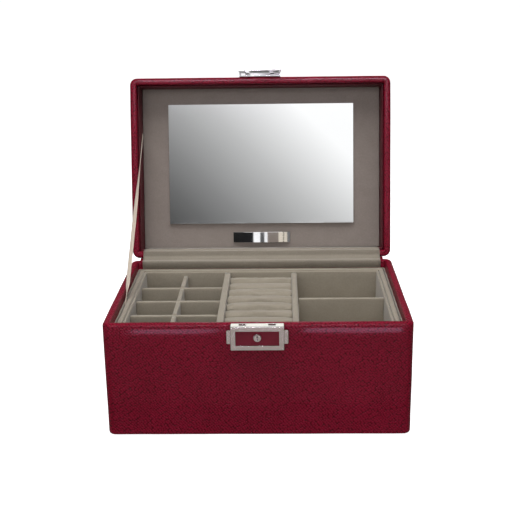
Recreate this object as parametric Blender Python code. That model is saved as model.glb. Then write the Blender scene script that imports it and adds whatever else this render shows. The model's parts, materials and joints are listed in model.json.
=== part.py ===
"""Leather jewellery case with a lift-out tray, a mirrored lid and a squeeze clasp.

The case stands on its underside, with the front towards -Y, the right side
towards +X and the lid standing open at the back. The origin is the middle of
the underside. The lid and its pieces are modelled shut, as they lie on the
base, and turn open with the empty on the hinge line. Lengths are in metres.
"""

import math

import bmesh
import bpy
from mathutils import Matrix, Vector

# --- Case -------------------------------------------------------------------
CASE_WIDTH = 0.260  # outside, left to right
CASE_DEPTH = 0.180  # outside, front to back
BASE_HEIGHT = 0.102  # underside to the base's rim
LID_HEIGHT = 0.0385  # the lid's rim to its top
LID_OPEN_ANGLE = math.radians(103.3)  # from shut to resting on the ribbon
RIM_GAP = 0.0016  # between the two rims when shut
CORNER_RADIUS = 0.007  # upright corners, seen from above
TOUCH = 0.0003  # gap between pieces that touch

# --- Walls ------------------------------------------------------------------
LEATHER = 0.001
BOARD = 0.0039
RIM_ROUND_OUT = 0.0025  # outer edge of each rim
RIM_ROUND_IN = 0.0014  # inner edge of each rim
FOOT_ROUND = 0.0015  # lower edge of the base's leather
LID_TOP_ROUND = 0.003  # edge of the lid's top
TURN_IN = 0.0115  # leather turned over the rim and down inside
TURN_UNDER = 0.008  # leather turned under the base
LEATHER_LIFT = 0.0005  # the leather's lower edge above the underside
FELT_GAP = 0.001  # between the felt and the turned leather

# --- Lining -----------------------------------------------------------------
LINING = 0.0012  # suede on card
LINING_DROP = 0.0075  # lining's upper edge below the rim
PANEL = 0.003

# --- Tray -------------------------------------------------------------------
TRAY_HEIGHT = 0.038
TRAY_CLEARANCE = 0.001  # round the tray
TRAY_WALL = 0.0043
TRAY_LINING = 0.0024
TRAY_LINING_DROP = 0.0006  # inner lining's edge below the wall's
TRAY_FLOOR = 0.003
LEDGE_WIDTH = 0.008
LEDGE_HEIGHT = 0.006
LEDGE_END_GAP = 0.004

THICK_DIVIDER = 0.0062
THICK_DIVIDER_DROP = 0.0007  # upper edge below the tray's rim
RING_BAY_WIDTH = 0.0594  # between the two thick dividers
THIN_DIVIDER = 0.004
THIN_DIVIDER_DROP = 0.0043
RIGHT_DIVIDER_DROP = 0.002
LEFT_ROWS = 4
NOTCH_PLAY = 0.0003  # each side of a halved joint

ROLL_COUNT = 8
ROLL_HEIGHT = 0.013
ROLL_DROP = 0.0040  # crown below the tray's rim
ROLL_GAP = 0.0004
ROLL_SIDES = 16

# --- Mirror and nameplate ---------------------------------------------------
MIRROR_FROM_SIDE = 0.035  # its edge from the lid's side
MIRROR_FROM_FRONT = 0.0241
MIRROR_FROM_HINGE = 0.0332
MIRROR_THICKNESS = 0.0025
MIRROR_BEVEL = 0.0012
MIRROR_CORNER = 0.001
PLATE_WIDTH = 0.058
PLATE_HEIGHT = 0.011
PLATE_RISE = 0.003  # bow of the plate along its length
PLATE_THICKNESS = 0.0009
PLATE_FROM_HINGE = 0.0190
PLATE_STEPS = 12

# --- Hinge strips and ribbon ------------------------------------------------
HINGE_LEATHER = 0.0009
HINGE_LEATHER_LENGTH = 0.244
HINGE_LEATHER_REACH = 0.012  # glued to the base and to the lid
HINGE_LINING = 0.00045
HINGE_LINING_LENGTH = 0.238
HINGE_LINING_SPAN = 0.0026  # free cloth each side of the hinge line
RIBBON_THICKNESS = 0.0004
RIBBON_WIDTH = 0.005
RIBBON_BASE_FROM_HINGE = 0.107  # lower end's middle, from the hinge side
RIBBON_BELOW_LINING = 0.0045
RIBBON_LID_FROM_HINGE = 0.1250  # upper end's middle, from the hinge side
RIBBON_PANEL_GAP = 0.0015

# --- Clasp ------------------------------------------------------------------
LOCK_WIDTH = 0.0446
LOCK_HEIGHT = 0.0212
LOCK_PROUD = 0.0088
LOCK_OVER_RIM = 0.001
LOCK_WALL = 0.0015
LOCK_FACE = 0.0018
LOCK_BAR = 0.0043  # width of the frame round the inlay
LOCK_EDGE = 0.0005
BACK_PLATE = 0.001
INLAY = 0.0012
SLOT_FROM_MIDDLE = 0.0122
SLOT_WIDTH = 0.006
SLOT_DEPTH = 0.0038
SLOT_FROM_BACK = 0.0036  # slot's middle from the case's back
KEY_RADIUS = 0.0031
KEY_PROUD = 0.0011
KEY_REACH = 0.0022  # cylinder behind the inlay
KEY_PLAY = 0.0003
KEYWAY_WIDTH = 0.0010
KEYWAY_HEIGHT = 0.0034
KEYWAY_DEPTH = 0.0015
BUTTON_HEIGHT = 0.012
BUTTON_PROUD = 0.0036
BUTTON_THICKNESS = 0.0026
BUTTON_TRAVEL = 0.0022
BUTTON_PLAY = 0.0003
BUTTON_CORNER = 0.001
LATCH_BAR_HEIGHT = 0.0034
LATCH_POST_WIDTH = 0.0020
LATCH_NOSE = 0.0010  # catch of the nose in the hook's notch
LATCH_NOSE_HEIGHT = 0.002
SPRING_RADIUS = 0.0012
SPRING_WIRE = 0.00025
SPRING_TURNS = 6
SPRING_LENGTH = 0.011
SPRING_LUG = 0.0014

CATCH_WIDTH = 0.0408
CATCH_LIP = 0.001
CATCH_LIP_THICKNESS = 0.0011
CATCH_HEIGHT = 0.011
CATCH_PROUD = 0.0072
CATCH_WALL = 0.0012
HOOK_WIDTH = 0.0048
HOOK_THICKNESS = 0.0024
HOOK_LENGTH = 0.0076  # below the catch
HOOK_PLAY = 0.0004

CORNER_STEPS = 6

# --- Places that follow -----------------------------------------------------
FRONT = -CASE_DEPTH / 2
BACK = CASE_DEPTH / 2
WALL = 2 * LEATHER + 2 * TOUCH + BOARD  # rim, outside to inside
LID_RIM = BASE_HEIGHT + RIM_GAP
LID_TOP = LID_RIM + LID_HEIGHT
PANEL_DEPTH = LID_HEIGHT - LEATHER - BOARD - PANEL - 2 * TOUCH  # lid's rim to the panel's face
HINGE_Y = BACK + TOUCH + HINGE_LEATHER / 2
HINGE_Z = BASE_HEIGHT + RIM_GAP / 2
LINING_IN = WALL + TOUCH  # inset of the lining's outer side
BAY_INSET = LINING_IN + LINING  # inset of the free space inside
LINING_TOP = BASE_HEIGHT - LINING_DROP
FLOOR_TOP = 2 * TOUCH + LEATHER_LIFT + LEATHER + BOARD + LINING
TRAY_TOP = LINING_TOP
TRAY_BOTTOM = TRAY_TOP - TRAY_HEIGHT
TRAY_INSET = BAY_INSET + TRAY_CLEARANCE
CELL_INSET = TRAY_INSET + TRAY_WALL + TOUCH + TRAY_LINING  # inset of the tray's inside
CELL_FLOOR = TRAY_BOTTOM + TRAY_FLOOR + TOUCH
CELL_X = CASE_WIDTH / 2 - CELL_INSET
CELL_Y = CASE_DEPTH / 2 - CELL_INSET
DIVIDER_X = RING_BAY_WIDTH / 2 + THICK_DIVIDER / 2
LOCK_TOP = BASE_HEIGHT + LOCK_OVER_RIM
LOCK_BOTTOM = LOCK_TOP - LOCK_HEIGHT
LOCK_BACK = FRONT - TOUCH
LOCK_FRONT = FRONT - LOCK_PROUD
LOCK_MIDDLE = (LOCK_TOP + LOCK_BOTTOM) / 2
INLAY_FRONT = LOCK_FRONT + LOCK_FACE + TOUCH
INLAY_BACK = INLAY_FRONT + INLAY
HOOK_Y = LOCK_BACK - SLOT_FROM_BACK
CATCH_BOTTOM = LOCK_TOP + TOUCH


def clear_scene():
    """Take out whatever the file held."""
    for thing in list(bpy.data.objects):
        bpy.data.objects.remove(thing, do_unlink=True)


def finish_material(name, color, roughness, metallic=0.0):
    """A plain finish of one colour."""
    material = bpy.data.materials.new(name)
    material.use_nodes = True
    shader = material.node_tree.nodes["Principled BSDF"]
    shader.inputs["Base Color"].default_value = (*color, 1.0)
    shader.inputs["Roughness"].default_value = roughness
    shader.inputs["Metallic"].default_value = metallic
    return material


def joint_empty(name, place, turn=0.0):
    """An empty on a joint's axis, which carries the pieces that move with it."""
    empty = bpy.data.objects.new(name, None)
    bpy.context.scene.collection.objects.link(empty)
    empty.location = place
    empty.rotation_euler = (turn, 0.0, 0.0)
    empty["rest_place"] = place
    return empty


def add_piece(name, bm, material, carrier=None, smooth=False):
    """Turn a bmesh into a named object; a carrier's pieces are modelled before it turns."""
    bmesh.ops.recalc_face_normals(bm, faces=bm.faces)
    mesh = bpy.data.meshes.new(name)
    bm.to_mesh(mesh)
    bm.free()
    mesh.materials.append(material)
    if smooth:
        mesh.shade_smooth()
        mesh.set_sharp_from_angle(angle=math.radians(40))
    piece = bpy.data.objects.new(name, mesh)
    bpy.context.scene.collection.objects.link(piece)
    if carrier is not None:
        piece.parent = carrier
        piece.matrix_parent_inverse = Matrix.Translation(-Vector(carrier["rest_place"]))
    return piece


def block_mesh(low, high):
    """A box between two corners."""
    bm = bmesh.new()
    bmesh.ops.create_cube(bm, size=1.0)
    size = Vector(high) - Vector(low)
    middle = (Vector(high) + Vector(low)) / 2
    bmesh.ops.scale(bm, vec=size, verts=bm.verts)
    bmesh.ops.translate(bm, vec=middle, verts=bm.verts)
    return bm


def add_block(name, low, high, material, carrier=None, bevel=0.0):
    """A box with its edges eased by a bevel."""
    bm = block_mesh(low, high)
    if bevel:
        bmesh.ops.bevel(bm, geom=bm.edges, offset=bevel, segments=1, profile=0.5,
                        affect="EDGES", material=-1)
    return add_piece(name, bm, material, carrier)


def outline_points(inset):
    """The case's plan outline with rounded corners, moved inwards by inset."""
    half_x = CASE_WIDTH / 2 - inset
    half_y = CASE_DEPTH / 2 - inset
    radius = max(CORNER_RADIUS - inset, TOUCH)
    points = []
    for quarter, (side_x, side_y) in enumerate(((1, 1), (-1, 1), (-1, -1), (1, -1))):
        centre_x = side_x * (half_x - radius)
        centre_y = side_y * (half_y - radius)
        for step in range(CORNER_STEPS + 1):
            angle = (quarter + step / CORNER_STEPS) * math.pi / 2
            points.append((centre_x + radius * math.cos(angle),
                           centre_y + radius * math.sin(angle)))
    return points


def loft_mesh(profile, close):
    """Skin plan outlines along a profile of (inset, height) pairs.

    The profile joins up with its own start when close is set, and otherwise
    its two end outlines are filled.
    """
    bm = bmesh.new()
    rings = [[bm.verts.new((x, y, height)) for x, y in outline_points(inset)]
             for inset, height in profile]
    pairs = list(zip(rings, rings[1:]))
    if close:
        pairs.append((rings[-1], rings[0]))
    else:
        bm.faces.new(rings[0])
        bm.faces.new(rings[-1])
    for lower, upper in pairs:
        for i in range(len(lower)):
            bm.faces.new((lower[i - 1], lower[i], upper[i], upper[i - 1]))
    return bm


def quarter_arc(centre, radius, start, end, steps=4):
    """Points of an arc from one angle to another, in degrees."""
    angles = [math.radians(start + (end - start) * i / steps) for i in range(steps + 1)]
    return [(centre[0] + radius * math.cos(a), centre[1] + radius * math.sin(a)) for a in angles]


def prism_mesh(outline, low, high, axis):
    """Extrude a flat outline along an axis, from low to high.

    The outline's two numbers are the coordinates along the other two axes, in
    X, Y, Z order.
    """
    spare = [i for i in range(3) if i != axis]
    bm = bmesh.new()
    verts = []
    for pair in outline:
        place = [low] * 3
        place[spare[0]], place[spare[1]] = pair
        verts.append(bm.verts.new(place))
    face = bm.faces.new(verts)
    raised = bmesh.ops.extrude_face_region(bm, geom=[face])
    shift = Vector((0, 0, 0))
    shift[axis] = high - low
    tops = [part for part in raised["geom"] if isinstance(part, bmesh.types.BMVert)]
    bmesh.ops.translate(bm, vec=shift, verts=tops)
    return bm


def add_prism(name, outline, low, high, axis, material, carrier=None, smooth=False):
    """A piece of one outline along its whole length."""
    return add_piece(name, prism_mesh(outline, low, high, axis), material, carrier, smooth)


def strip_outline(path, thickness):
    """The outline of a strip of even thickness along a path of points."""
    points = [Vector(p) for p in path]
    sides = []
    for i, point in enumerate(points):
        before = (point - points[i - 1]).normalized() if i else None
        after = (points[i + 1] - point).normalized() if i + 1 < len(points) else None
        along = before or after
        normal = Vector((-along.y, along.x))
        if before and after:
            other = Vector((-after.y, after.x))
            normal = (normal + other) / (1 + normal.dot(other))
        sides.append(normal * thickness / 2)
    left = [point + side for point, side in zip(points, sides)]
    right = [point - side for point, side in zip(points, sides)]
    return [tuple(p) for p in left + right[::-1]]


def cut(piece, bm, name):
    """Take a cutter's shape out of a piece."""
    bmesh.ops.recalc_face_normals(bm, faces=bm.faces)
    mesh = bpy.data.meshes.new(name)
    bm.to_mesh(mesh)
    bm.free()
    cutter = bpy.data.objects.new(name, mesh)
    bpy.context.scene.collection.objects.link(cutter)
    cutter.hide_render = True
    cutter.display_type = "WIRE"
    cutter.parent = piece.parent
    cutter.matrix_parent_inverse = piece.matrix_parent_inverse
    boolean = piece.modifiers.new(name, "BOOLEAN")
    boolean.operation = "DIFFERENCE"
    boolean.solver = "EXACT"
    boolean.object = cutter


def open_place(y, z):
    """Where a point of the shut lid, seen from the side, stands when the lid is open."""
    turned = Matrix.Rotation(-LID_OPEN_ANGLE, 2) @ Vector((y - HINGE_Y, z - HINGE_Z))
    return (turned.x + HINGE_Y, turned.y + HINGE_Z)


# --- Base -------------------------------------------------------------------
def add_wall_boards(prefix, bottom, top, material, carrier=None):
    """Four boards inside the leather: front and back full width, sides between them."""
    skin = LEATHER + TOUCH
    inner_x = CASE_WIDTH / 2 - skin - BOARD
    inner_y = CASE_DEPTH / 2 - skin - BOARD
    side_y = inner_y - TOUCH
    keeps = {
        "front": [((0, -inner_y, 0), (0, 1, 0))],
        "back": [((0, inner_y, 0), (0, -1, 0))],
        "left": [((-inner_x, 0, 0), (1, 0, 0)), ((0, side_y, 0), (0, 1, 0)),
                 ((0, -side_y, 0), (0, -1, 0))],
        "right": [((inner_x, 0, 0), (-1, 0, 0)), ((0, side_y, 0), (0, 1, 0)),
                  ((0, -side_y, 0), (0, -1, 0))],
    }
    for side, planes in keeps.items():
        bm = loft_mesh([(skin, bottom), (skin, top)], close=False)
        for place, away in planes:
            parts = list(bm.verts) + list(bm.edges) + list(bm.faces)
            sliced = bmesh.ops.bisect_plane(bm, geom=parts, plane_co=place, plane_no=away,
                                            clear_outer=True)
            rim = [part for part in sliced["geom_cut"] if isinstance(part, bmesh.types.BMEdge)]
            bmesh.ops.edgeloop_fill(bm, edges=rim)
        add_piece(f"{prefix}_board_{side}", bm, material, carrier)


def add_base(board, leather, felt, suede):
    """The lower box: boards, leather, felt underside, lining and the tray's ledges."""
    board_bottom = LEATHER_LIFT + LEATHER + TOUCH
    wall_bottom = board_bottom + BOARD + TOUCH
    add_wall_boards("base", wall_bottom, BASE_HEIGHT - LEATHER - TOUCH, board)
    skin = LEATHER + TOUCH
    bottom = loft_mesh([(skin, board_bottom), (skin, board_bottom + BOARD)], close=False)
    add_piece("base_board_bottom", bottom, board)

    rim = BASE_HEIGHT
    profile = quarter_arc((FOOT_ROUND, LEATHER_LIFT + FOOT_ROUND), FOOT_ROUND, 270, 180)
    profile += quarter_arc((RIM_ROUND_OUT, rim - RIM_ROUND_OUT), RIM_ROUND_OUT, 180, 90)
    profile += quarter_arc((WALL - RIM_ROUND_IN, rim - RIM_ROUND_IN), RIM_ROUND_IN, 90, 0)
    profile += [(WALL, rim - TURN_IN), (WALL - LEATHER, rim - TURN_IN)]
    profile += [(WALL - LEATHER, rim - LEATHER), (LEATHER, rim - LEATHER)]
    profile += [(LEATHER, LEATHER_LIFT + LEATHER), (TURN_UNDER, LEATHER_LIFT + LEATHER)]
    profile += [(TURN_UNDER, LEATHER_LIFT)]
    add_piece("base_leather", loft_mesh(profile, close=True), leather, smooth=True)

    felt_inset = TURN_UNDER + FELT_GAP
    pad = loft_mesh([(felt_inset, 0), (felt_inset, LEATHER_LIFT + LEATHER)], close=False)
    add_piece("base_felt", pad, felt)

    floor = wall_bottom
    low_x, low_y = CASE_WIDTH / 2 - LINING_IN, CASE_DEPTH / 2 - LINING_IN
    add_block("base_floor_lining", (-low_x, -low_y, floor), (low_x, low_y, floor + LINING), suede)
    sides = [(LINING_IN, FLOOR_TOP + TOUCH), (LINING_IN, LINING_TOP),
             (BAY_INSET, LINING_TOP), (BAY_INSET, FLOOR_TOP + TOUCH)]
    add_piece("base_side_lining", loft_mesh(sides, close=True), suede)

    outer_x = CASE_WIDTH / 2 - BAY_INSET - TOUCH
    end_y = CASE_DEPTH / 2 - BAY_INSET - LEDGE_END_GAP
    ledge_top = TRAY_BOTTOM - TOUCH
    for side, sign in (("left", -1), ("right", 1)):
        xs = sorted((sign * outer_x, sign * (outer_x - LEDGE_WIDTH)))
        add_block(f"tray_ledge_{side}", (xs[0], -end_y, ledge_top - LEDGE_HEIGHT),
                  (xs[1], end_y, ledge_top), suede, bevel=TOUCH)


# --- Tray -------------------------------------------------------------------
def add_tray_box(suede, carrier):
    """The tray's floor, walls and padded inner lining."""
    out_x, out_y = CASE_WIDTH / 2 - TRAY_INSET, CASE_DEPTH / 2 - TRAY_INSET
    in_x, in_y = out_x - TRAY_WALL, out_y - TRAY_WALL
    side_y = in_y - TOUCH
    wall_bottom = TRAY_BOTTOM + TRAY_FLOOR + TOUCH
    add_block("tray_floor", (-out_x, -out_y, TRAY_BOTTOM),
              (out_x, out_y, TRAY_BOTTOM + TRAY_FLOOR), suede, carrier)
    boxes = {
        "front": ((-out_x, -out_y), (out_x, -in_y)),
        "back": ((-out_x, in_y), (out_x, out_y)),
        "left": ((-out_x, -side_y), (-in_x, side_y)),
        "right": ((in_x, -side_y), (out_x, side_y)),
    }
    for side, (low, high) in boxes.items():
        add_block(f"tray_wall_{side}", (*low, wall_bottom), (*high, TRAY_TOP), suede, carrier,
                  bevel=TOUCH)
    outer = TRAY_INSET + TRAY_WALL + TOUCH
    top = TRAY_TOP - TRAY_LINING_DROP
    profile = [(outer, wall_bottom), (outer, top), (CELL_INSET, top), (CELL_INSET, wall_bottom)]
    add_piece("tray_lining", loft_mesh(profile, close=True), suede, carrier)


def row_places():
    """Where the thin dividers of the left section stand, back to front."""
    pitch = 2 * CELL_Y / LEFT_ROWS
    return [CELL_Y - pitch * (row + 1) for row in range(LEFT_ROWS - 1)]


def add_dividers(suede, carrier):
    """Thick and thin dividers; the thin ones of the left section are halved together."""
    end_y = CELL_Y - TOUCH
    for side, sign in (("left", -1), ("right", 1)):
        middle = sign * DIVIDER_X
        add_block(f"divider_thick_{side}",
                  (middle - THICK_DIVIDER / 2, -end_y, CELL_FLOOR),
                  (middle + THICK_DIVIDER / 2, end_y, TRAY_TOP - THICK_DIVIDER_DROP),
                  suede, carrier, bevel=2 * TOUCH)

    inner = DIVIDER_X + THICK_DIVIDER / 2 + TOUCH
    outer = CELL_X - TOUCH
    half = THIN_DIVIDER / 2
    low, top = CELL_FLOOR, TRAY_TOP - THIN_DIVIDER_DROP
    joint = (low + top) / 2
    middle = -(inner + outer) / 2

    comb = [(-end_y, low), (end_y, low), (end_y, top)]
    for place in row_places():
        wide = half + NOTCH_PLAY
        comb += [(place + wide, top), (place + wide, joint), (place - wide, joint),
                 (place - wide, top)]
    comb += [(-end_y, top)]
    add_prism("divider_left_long", comb, middle - half, middle + half, 0, suede, carrier)

    wide = half + NOTCH_PLAY
    under = joint + NOTCH_PLAY
    cross = [(-outer, low), (middle - wide, low), (middle - wide, under),
             (middle + wide, under), (middle + wide, low), (-inner, low), (-inner, top),
             (-outer, top)]
    for number, place in enumerate(row_places(), start=1):
        add_prism(f"divider_left_cross_{number}", cross, place - half, place + half, 1, suede,
                  carrier)
    add_block("divider_right_cross", (inner, -half, CELL_FLOOR),
              (outer, half, TRAY_TOP - RIGHT_DIVIDER_DROP), suede, carrier, bevel=TOUCH)


def add_ring_rolls(suede, foam, carrier):
    """A foam bed with a row of padded rolls that grip rings between them."""
    half_x = RING_BAY_WIDTH / 2 - TOUCH
    pitch = 2 * CELL_Y / ROLL_COUNT
    crown = TRAY_TOP - ROLL_DROP
    under = crown - ROLL_HEIGHT
    add_block("ring_bed", (-half_x, -CELL_Y + TOUCH, CELL_FLOOR),
              (half_x, CELL_Y - TOUCH, under - TOUCH), foam, carrier)
    wide = (pitch - ROLL_GAP) / 2
    for number in range(ROLL_COUNT):
        middle = CELL_Y - pitch * (number + 0.5)
        outline = []
        for side in range(ROLL_SIDES):
            angle = 2 * math.pi * (side + 0.5) / ROLL_SIDES
            outline.append((middle + wide * math.cos(angle),
                            crown - ROLL_HEIGHT / 2 * (1 - math.sin(angle))))
        add_prism(f"ring_roll_{number + 1}", outline, -half_x, half_x, 0, suede, carrier,
                  smooth=True)


# --- Lid --------------------------------------------------------------------
def add_lid(board, leather, suede, mirror, chrome, carrier):
    """The lid's boards, leather, lining, panel, mirror and nameplate, modelled shut."""
    skin = LEATHER + TOUCH
    top_board = LID_TOP - skin - BOARD
    add_wall_boards("lid", LID_RIM + skin, top_board - TOUCH, board, carrier)
    cover = loft_mesh([(skin, top_board), (skin, LID_TOP - skin)], close=False)
    add_piece("lid_board_top", cover, board, carrier)

    rim = LID_RIM
    profile = quarter_arc((LID_TOP_ROUND, LID_TOP - LID_TOP_ROUND), LID_TOP_ROUND, 90, 180)
    profile += quarter_arc((RIM_ROUND_OUT, rim + RIM_ROUND_OUT), RIM_ROUND_OUT, 180, 270)
    profile += quarter_arc((WALL - RIM_ROUND_IN, rim + RIM_ROUND_IN), RIM_ROUND_IN, 270, 360)
    profile += [(WALL, rim + TURN_IN), (WALL - LEATHER, rim + TURN_IN)]
    profile += [(WALL - LEATHER, rim + LEATHER), (LEATHER, rim + LEATHER)]
    profile += [(LEATHER, LID_TOP - LEATHER)]
    add_piece("lid_leather", loft_mesh(profile, close=False), leather, carrier, smooth=True)

    panel_face = rim + PANEL_DEPTH
    sides = [(LINING_IN, rim + LINING_DROP), (LINING_IN, panel_face + PANEL),
             (BAY_INSET, panel_face + PANEL), (BAY_INSET, rim + LINING_DROP)]
    add_piece("lid_side_lining", loft_mesh(sides, close=True), leather, carrier)
    half_x = CASE_WIDTH / 2 - BAY_INSET - TOUCH
    half_y = CASE_DEPTH / 2 - BAY_INSET - TOUCH
    add_block("lid_panel", (-half_x, -half_y, panel_face), (half_x, half_y, panel_face + PANEL),
              suede, carrier, bevel=2 * TOUCH)

    half_width = CASE_WIDTH / 2 - MIRROR_FROM_SIDE
    back_face = panel_face - TOUCH
    low = (-half_width, FRONT + MIRROR_FROM_FRONT, back_face - MIRROR_THICKNESS)
    high = (half_width, BACK - MIRROR_FROM_HINGE, back_face)
    glass = block_mesh(low, high)
    upright = [e for e in glass.edges if abs(e.verts[0].co.z - e.verts[1].co.z) > TOUCH]
    bmesh.ops.bevel(glass, geom=upright, offset=MIRROR_CORNER, segments=2, profile=0.5,
                    affect="EDGES", material=-1)
    face = [e for e in glass.edges if max(v.co.z for v in e.verts) < low[2] + TOUCH]
    bmesh.ops.bevel(glass, geom=face, offset=MIRROR_BEVEL, segments=1, profile=0.5,
                    affect="EDGES", material=-1)
    add_piece("mirror", glass, mirror, carrier)

    radius = (PLATE_WIDTH ** 2 / 4 + PLATE_RISE ** 2) / (2 * PLATE_RISE)
    reach = math.asin(PLATE_WIDTH / 2 / radius)
    back_arc = []
    front_arc = []
    for step in range(PLATE_STEPS + 1):
        angle = reach * (2 * step / PLATE_STEPS - 1)
        drop = radius * math.cos(angle) - (radius - PLATE_RISE)
        back_arc.append((radius * math.sin(angle), back_face - drop))
        front_arc.append((radius * math.sin(angle), back_face - drop - PLATE_THICKNESS))
    middle = BACK - PLATE_FROM_HINGE
    add_prism("nameplate", back_arc + front_arc[::-1], middle - PLATE_HEIGHT / 2,
              middle + PLATE_HEIGHT / 2, 1, chrome, carrier, smooth=True)


# --- Hinge and ribbon -------------------------------------------------------
def add_hinge(leather, suede):
    """The outer leather hinge and the cloth over the two back rims, bent as when open."""
    fold = (HINGE_Y, HINGE_Z)
    path = [(HINGE_Y, HINGE_Z - HINGE_LEATHER_REACH), fold,
            open_place(HINGE_Y, HINGE_Z + HINGE_LEATHER_REACH)]
    half = HINGE_LEATHER_LENGTH / 2
    add_prism("hinge_leather", strip_outline(path, HINGE_LEATHER), -half, half, 0, leather)

    offset = TOUCH + HINGE_LINING / 2
    wall_y = BACK - WALL - offset
    rest_y = HINGE_Y - HINGE_LINING_SPAN
    base_z, lid_z = BASE_HEIGHT + offset, LID_RIM - offset
    path = [(wall_y, LINING_TOP + TOUCH), (wall_y, base_z), (rest_y, base_z),
            open_place(rest_y, lid_z), open_place(wall_y, lid_z),
            open_place(wall_y, LID_RIM + LINING_DROP - TOUCH)]
    half = HINGE_LINING_LENGTH / 2
    add_prism("hinge_lining", strip_outline(path, HINGE_LINING), -half, half, 0, suede)


def add_ribbon(ribbon):
    """The stay on the left that stops the lid: taut from the base's lining to the lid's."""
    low = (BACK - RIBBON_BASE_FROM_HINGE, LINING_TOP - RIBBON_BELOW_LINING)
    high = open_place(BACK - RIBBON_LID_FROM_HINGE, LID_RIM + PANEL_DEPTH - RIBBON_PANEL_GAP)
    wall_x = -(CASE_WIDTH / 2 - BAY_INSET - TOUCH)
    add_prism("ribbon_stay", strip_outline([low, high], RIBBON_WIDTH), wall_x,
              wall_x + RIBBON_THICKNESS, 0, ribbon)


# --- Clasp ------------------------------------------------------------------
def cylinder_mesh(radius, start_y, end_y, centre_z, sides=32):
    """A cylinder that runs front to back in the middle of the case."""
    bm = bmesh.new()
    turn = Matrix.Rotation(math.pi / 2, 4, "X")
    place = Matrix.Translation((0, (start_y + end_y) / 2, centre_z))
    bmesh.ops.create_cone(bm, cap_ends=True, segments=sides, radius1=radius, radius2=radius,
                          depth=abs(end_y - start_y), matrix=place @ turn)
    return bm


def add_lock(metal, leather, steel):
    """The lock case on the base's front, with its back plate and inlay."""
    half = LOCK_WIDTH / 2
    case = add_block("lock_case", (-half, LOCK_FRONT, LOCK_BOTTOM), (half, LOCK_BACK, LOCK_TOP),
                     metal, bevel=LOCK_EDGE)
    room_x = half - LOCK_WALL
    room_low, room_top = LOCK_BOTTOM + LOCK_WALL, LOCK_TOP - LOCK_WALL
    room_front = LOCK_FRONT + LOCK_FACE
    past = 0.002
    cut(case, block_mesh((-room_x, room_front, room_low), (room_x, LOCK_BACK + past, room_top)),
        "lock_room")
    cut(case, block_mesh((-half + LOCK_BAR, LOCK_FRONT - past, LOCK_BOTTOM + LOCK_BAR),
                         (half - LOCK_BAR, room_front + TOUCH, LOCK_TOP - LOCK_BAR)),
        "lock_window")
    button_y = button_span()
    for side, sign in (("left", -1), ("right", 1)):
        middle = sign * SLOT_FROM_MIDDLE
        cut(case, block_mesh((middle - SLOT_WIDTH / 2, HOOK_Y - SLOT_DEPTH / 2, room_top - TOUCH),
                             (middle + SLOT_WIDTH / 2, HOOK_Y + SLOT_DEPTH / 2, LOCK_TOP + past)),
            f"lock_slot_{side}")
        xs = sorted((sign * (room_x - TOUCH), sign * (half + past)))
        tall = BUTTON_HEIGHT / 2 + BUTTON_PLAY
        cut(case, block_mesh((xs[0], button_y[0] - BUTTON_PLAY, LOCK_MIDDLE - tall),
                             (xs[1], button_y[1] + BUTTON_PLAY, LOCK_MIDDLE + tall)),
            f"lock_side_{side}")

    plate_x = room_x - TOUCH
    plate_front = LOCK_BACK - BACK_PLATE
    outline = [(-plate_x, plate_front), (-SPRING_LUG / 2, plate_front)]
    lug_front = spring_y() - SPRING_RADIUS
    outline += [(-SPRING_LUG / 2, lug_front), (SPRING_LUG / 2, lug_front)]
    outline += [(SPRING_LUG / 2, plate_front), (plate_x, plate_front), (plate_x, LOCK_BACK),
                (-plate_x, LOCK_BACK)]
    plate = add_prism("lock_back_plate", outline, room_low + TOUCH, room_top - TOUCH, 2, steel)
    lug_top = spring_z() + SPRING_RADIUS
    cut(plate, block_mesh((-SPRING_LUG, lug_front - past, lug_top),
                          (SPRING_LUG, plate_front, room_top + past)), "plate_relief")

    inlay = add_block("lock_inlay", (-room_x + TOUCH, INLAY_FRONT, room_low + TOUCH),
                      (room_x - TOUCH, INLAY_BACK, room_top - TOUCH), leather)
    cut(inlay, cylinder_mesh(KEY_RADIUS + KEY_PLAY, INLAY_FRONT - past, INLAY_BACK + past,
                             LOCK_MIDDLE), "inlay_hole")


def button_span():
    """The front and back of the push buttons, which share the hooks' plane."""
    return (HOOK_Y - BUTTON_THICKNESS / 2, HOOK_Y + BUTTON_THICKNESS / 2)


def spring_y():
    """The springs' line, seen from above."""
    return HOOK_Y


def spring_z():
    """The springs' height, low in the lock's room."""
    return LOCK_BOTTOM + LOCK_WALL + SPRING_RADIUS + SPRING_WIRE + 2 * TOUCH


def hook_edge():
    """How far a hook's inner side stands from the middle of the case."""
    return SLOT_FROM_MIDDLE - HOOK_WIDTH / 2


def latch_levels():
    """The latch bar's underside, its top, and the nose's middle."""
    under = spring_z() + SPRING_RADIUS + SPRING_WIRE + TOUCH
    hook_tip = CATCH_BOTTOM - HOOK_LENGTH
    nose = hook_tip + LATCH_NOSE_HEIGHT + 2 * TOUCH
    return under, under + LATCH_BAR_HEIGHT, nose


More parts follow.
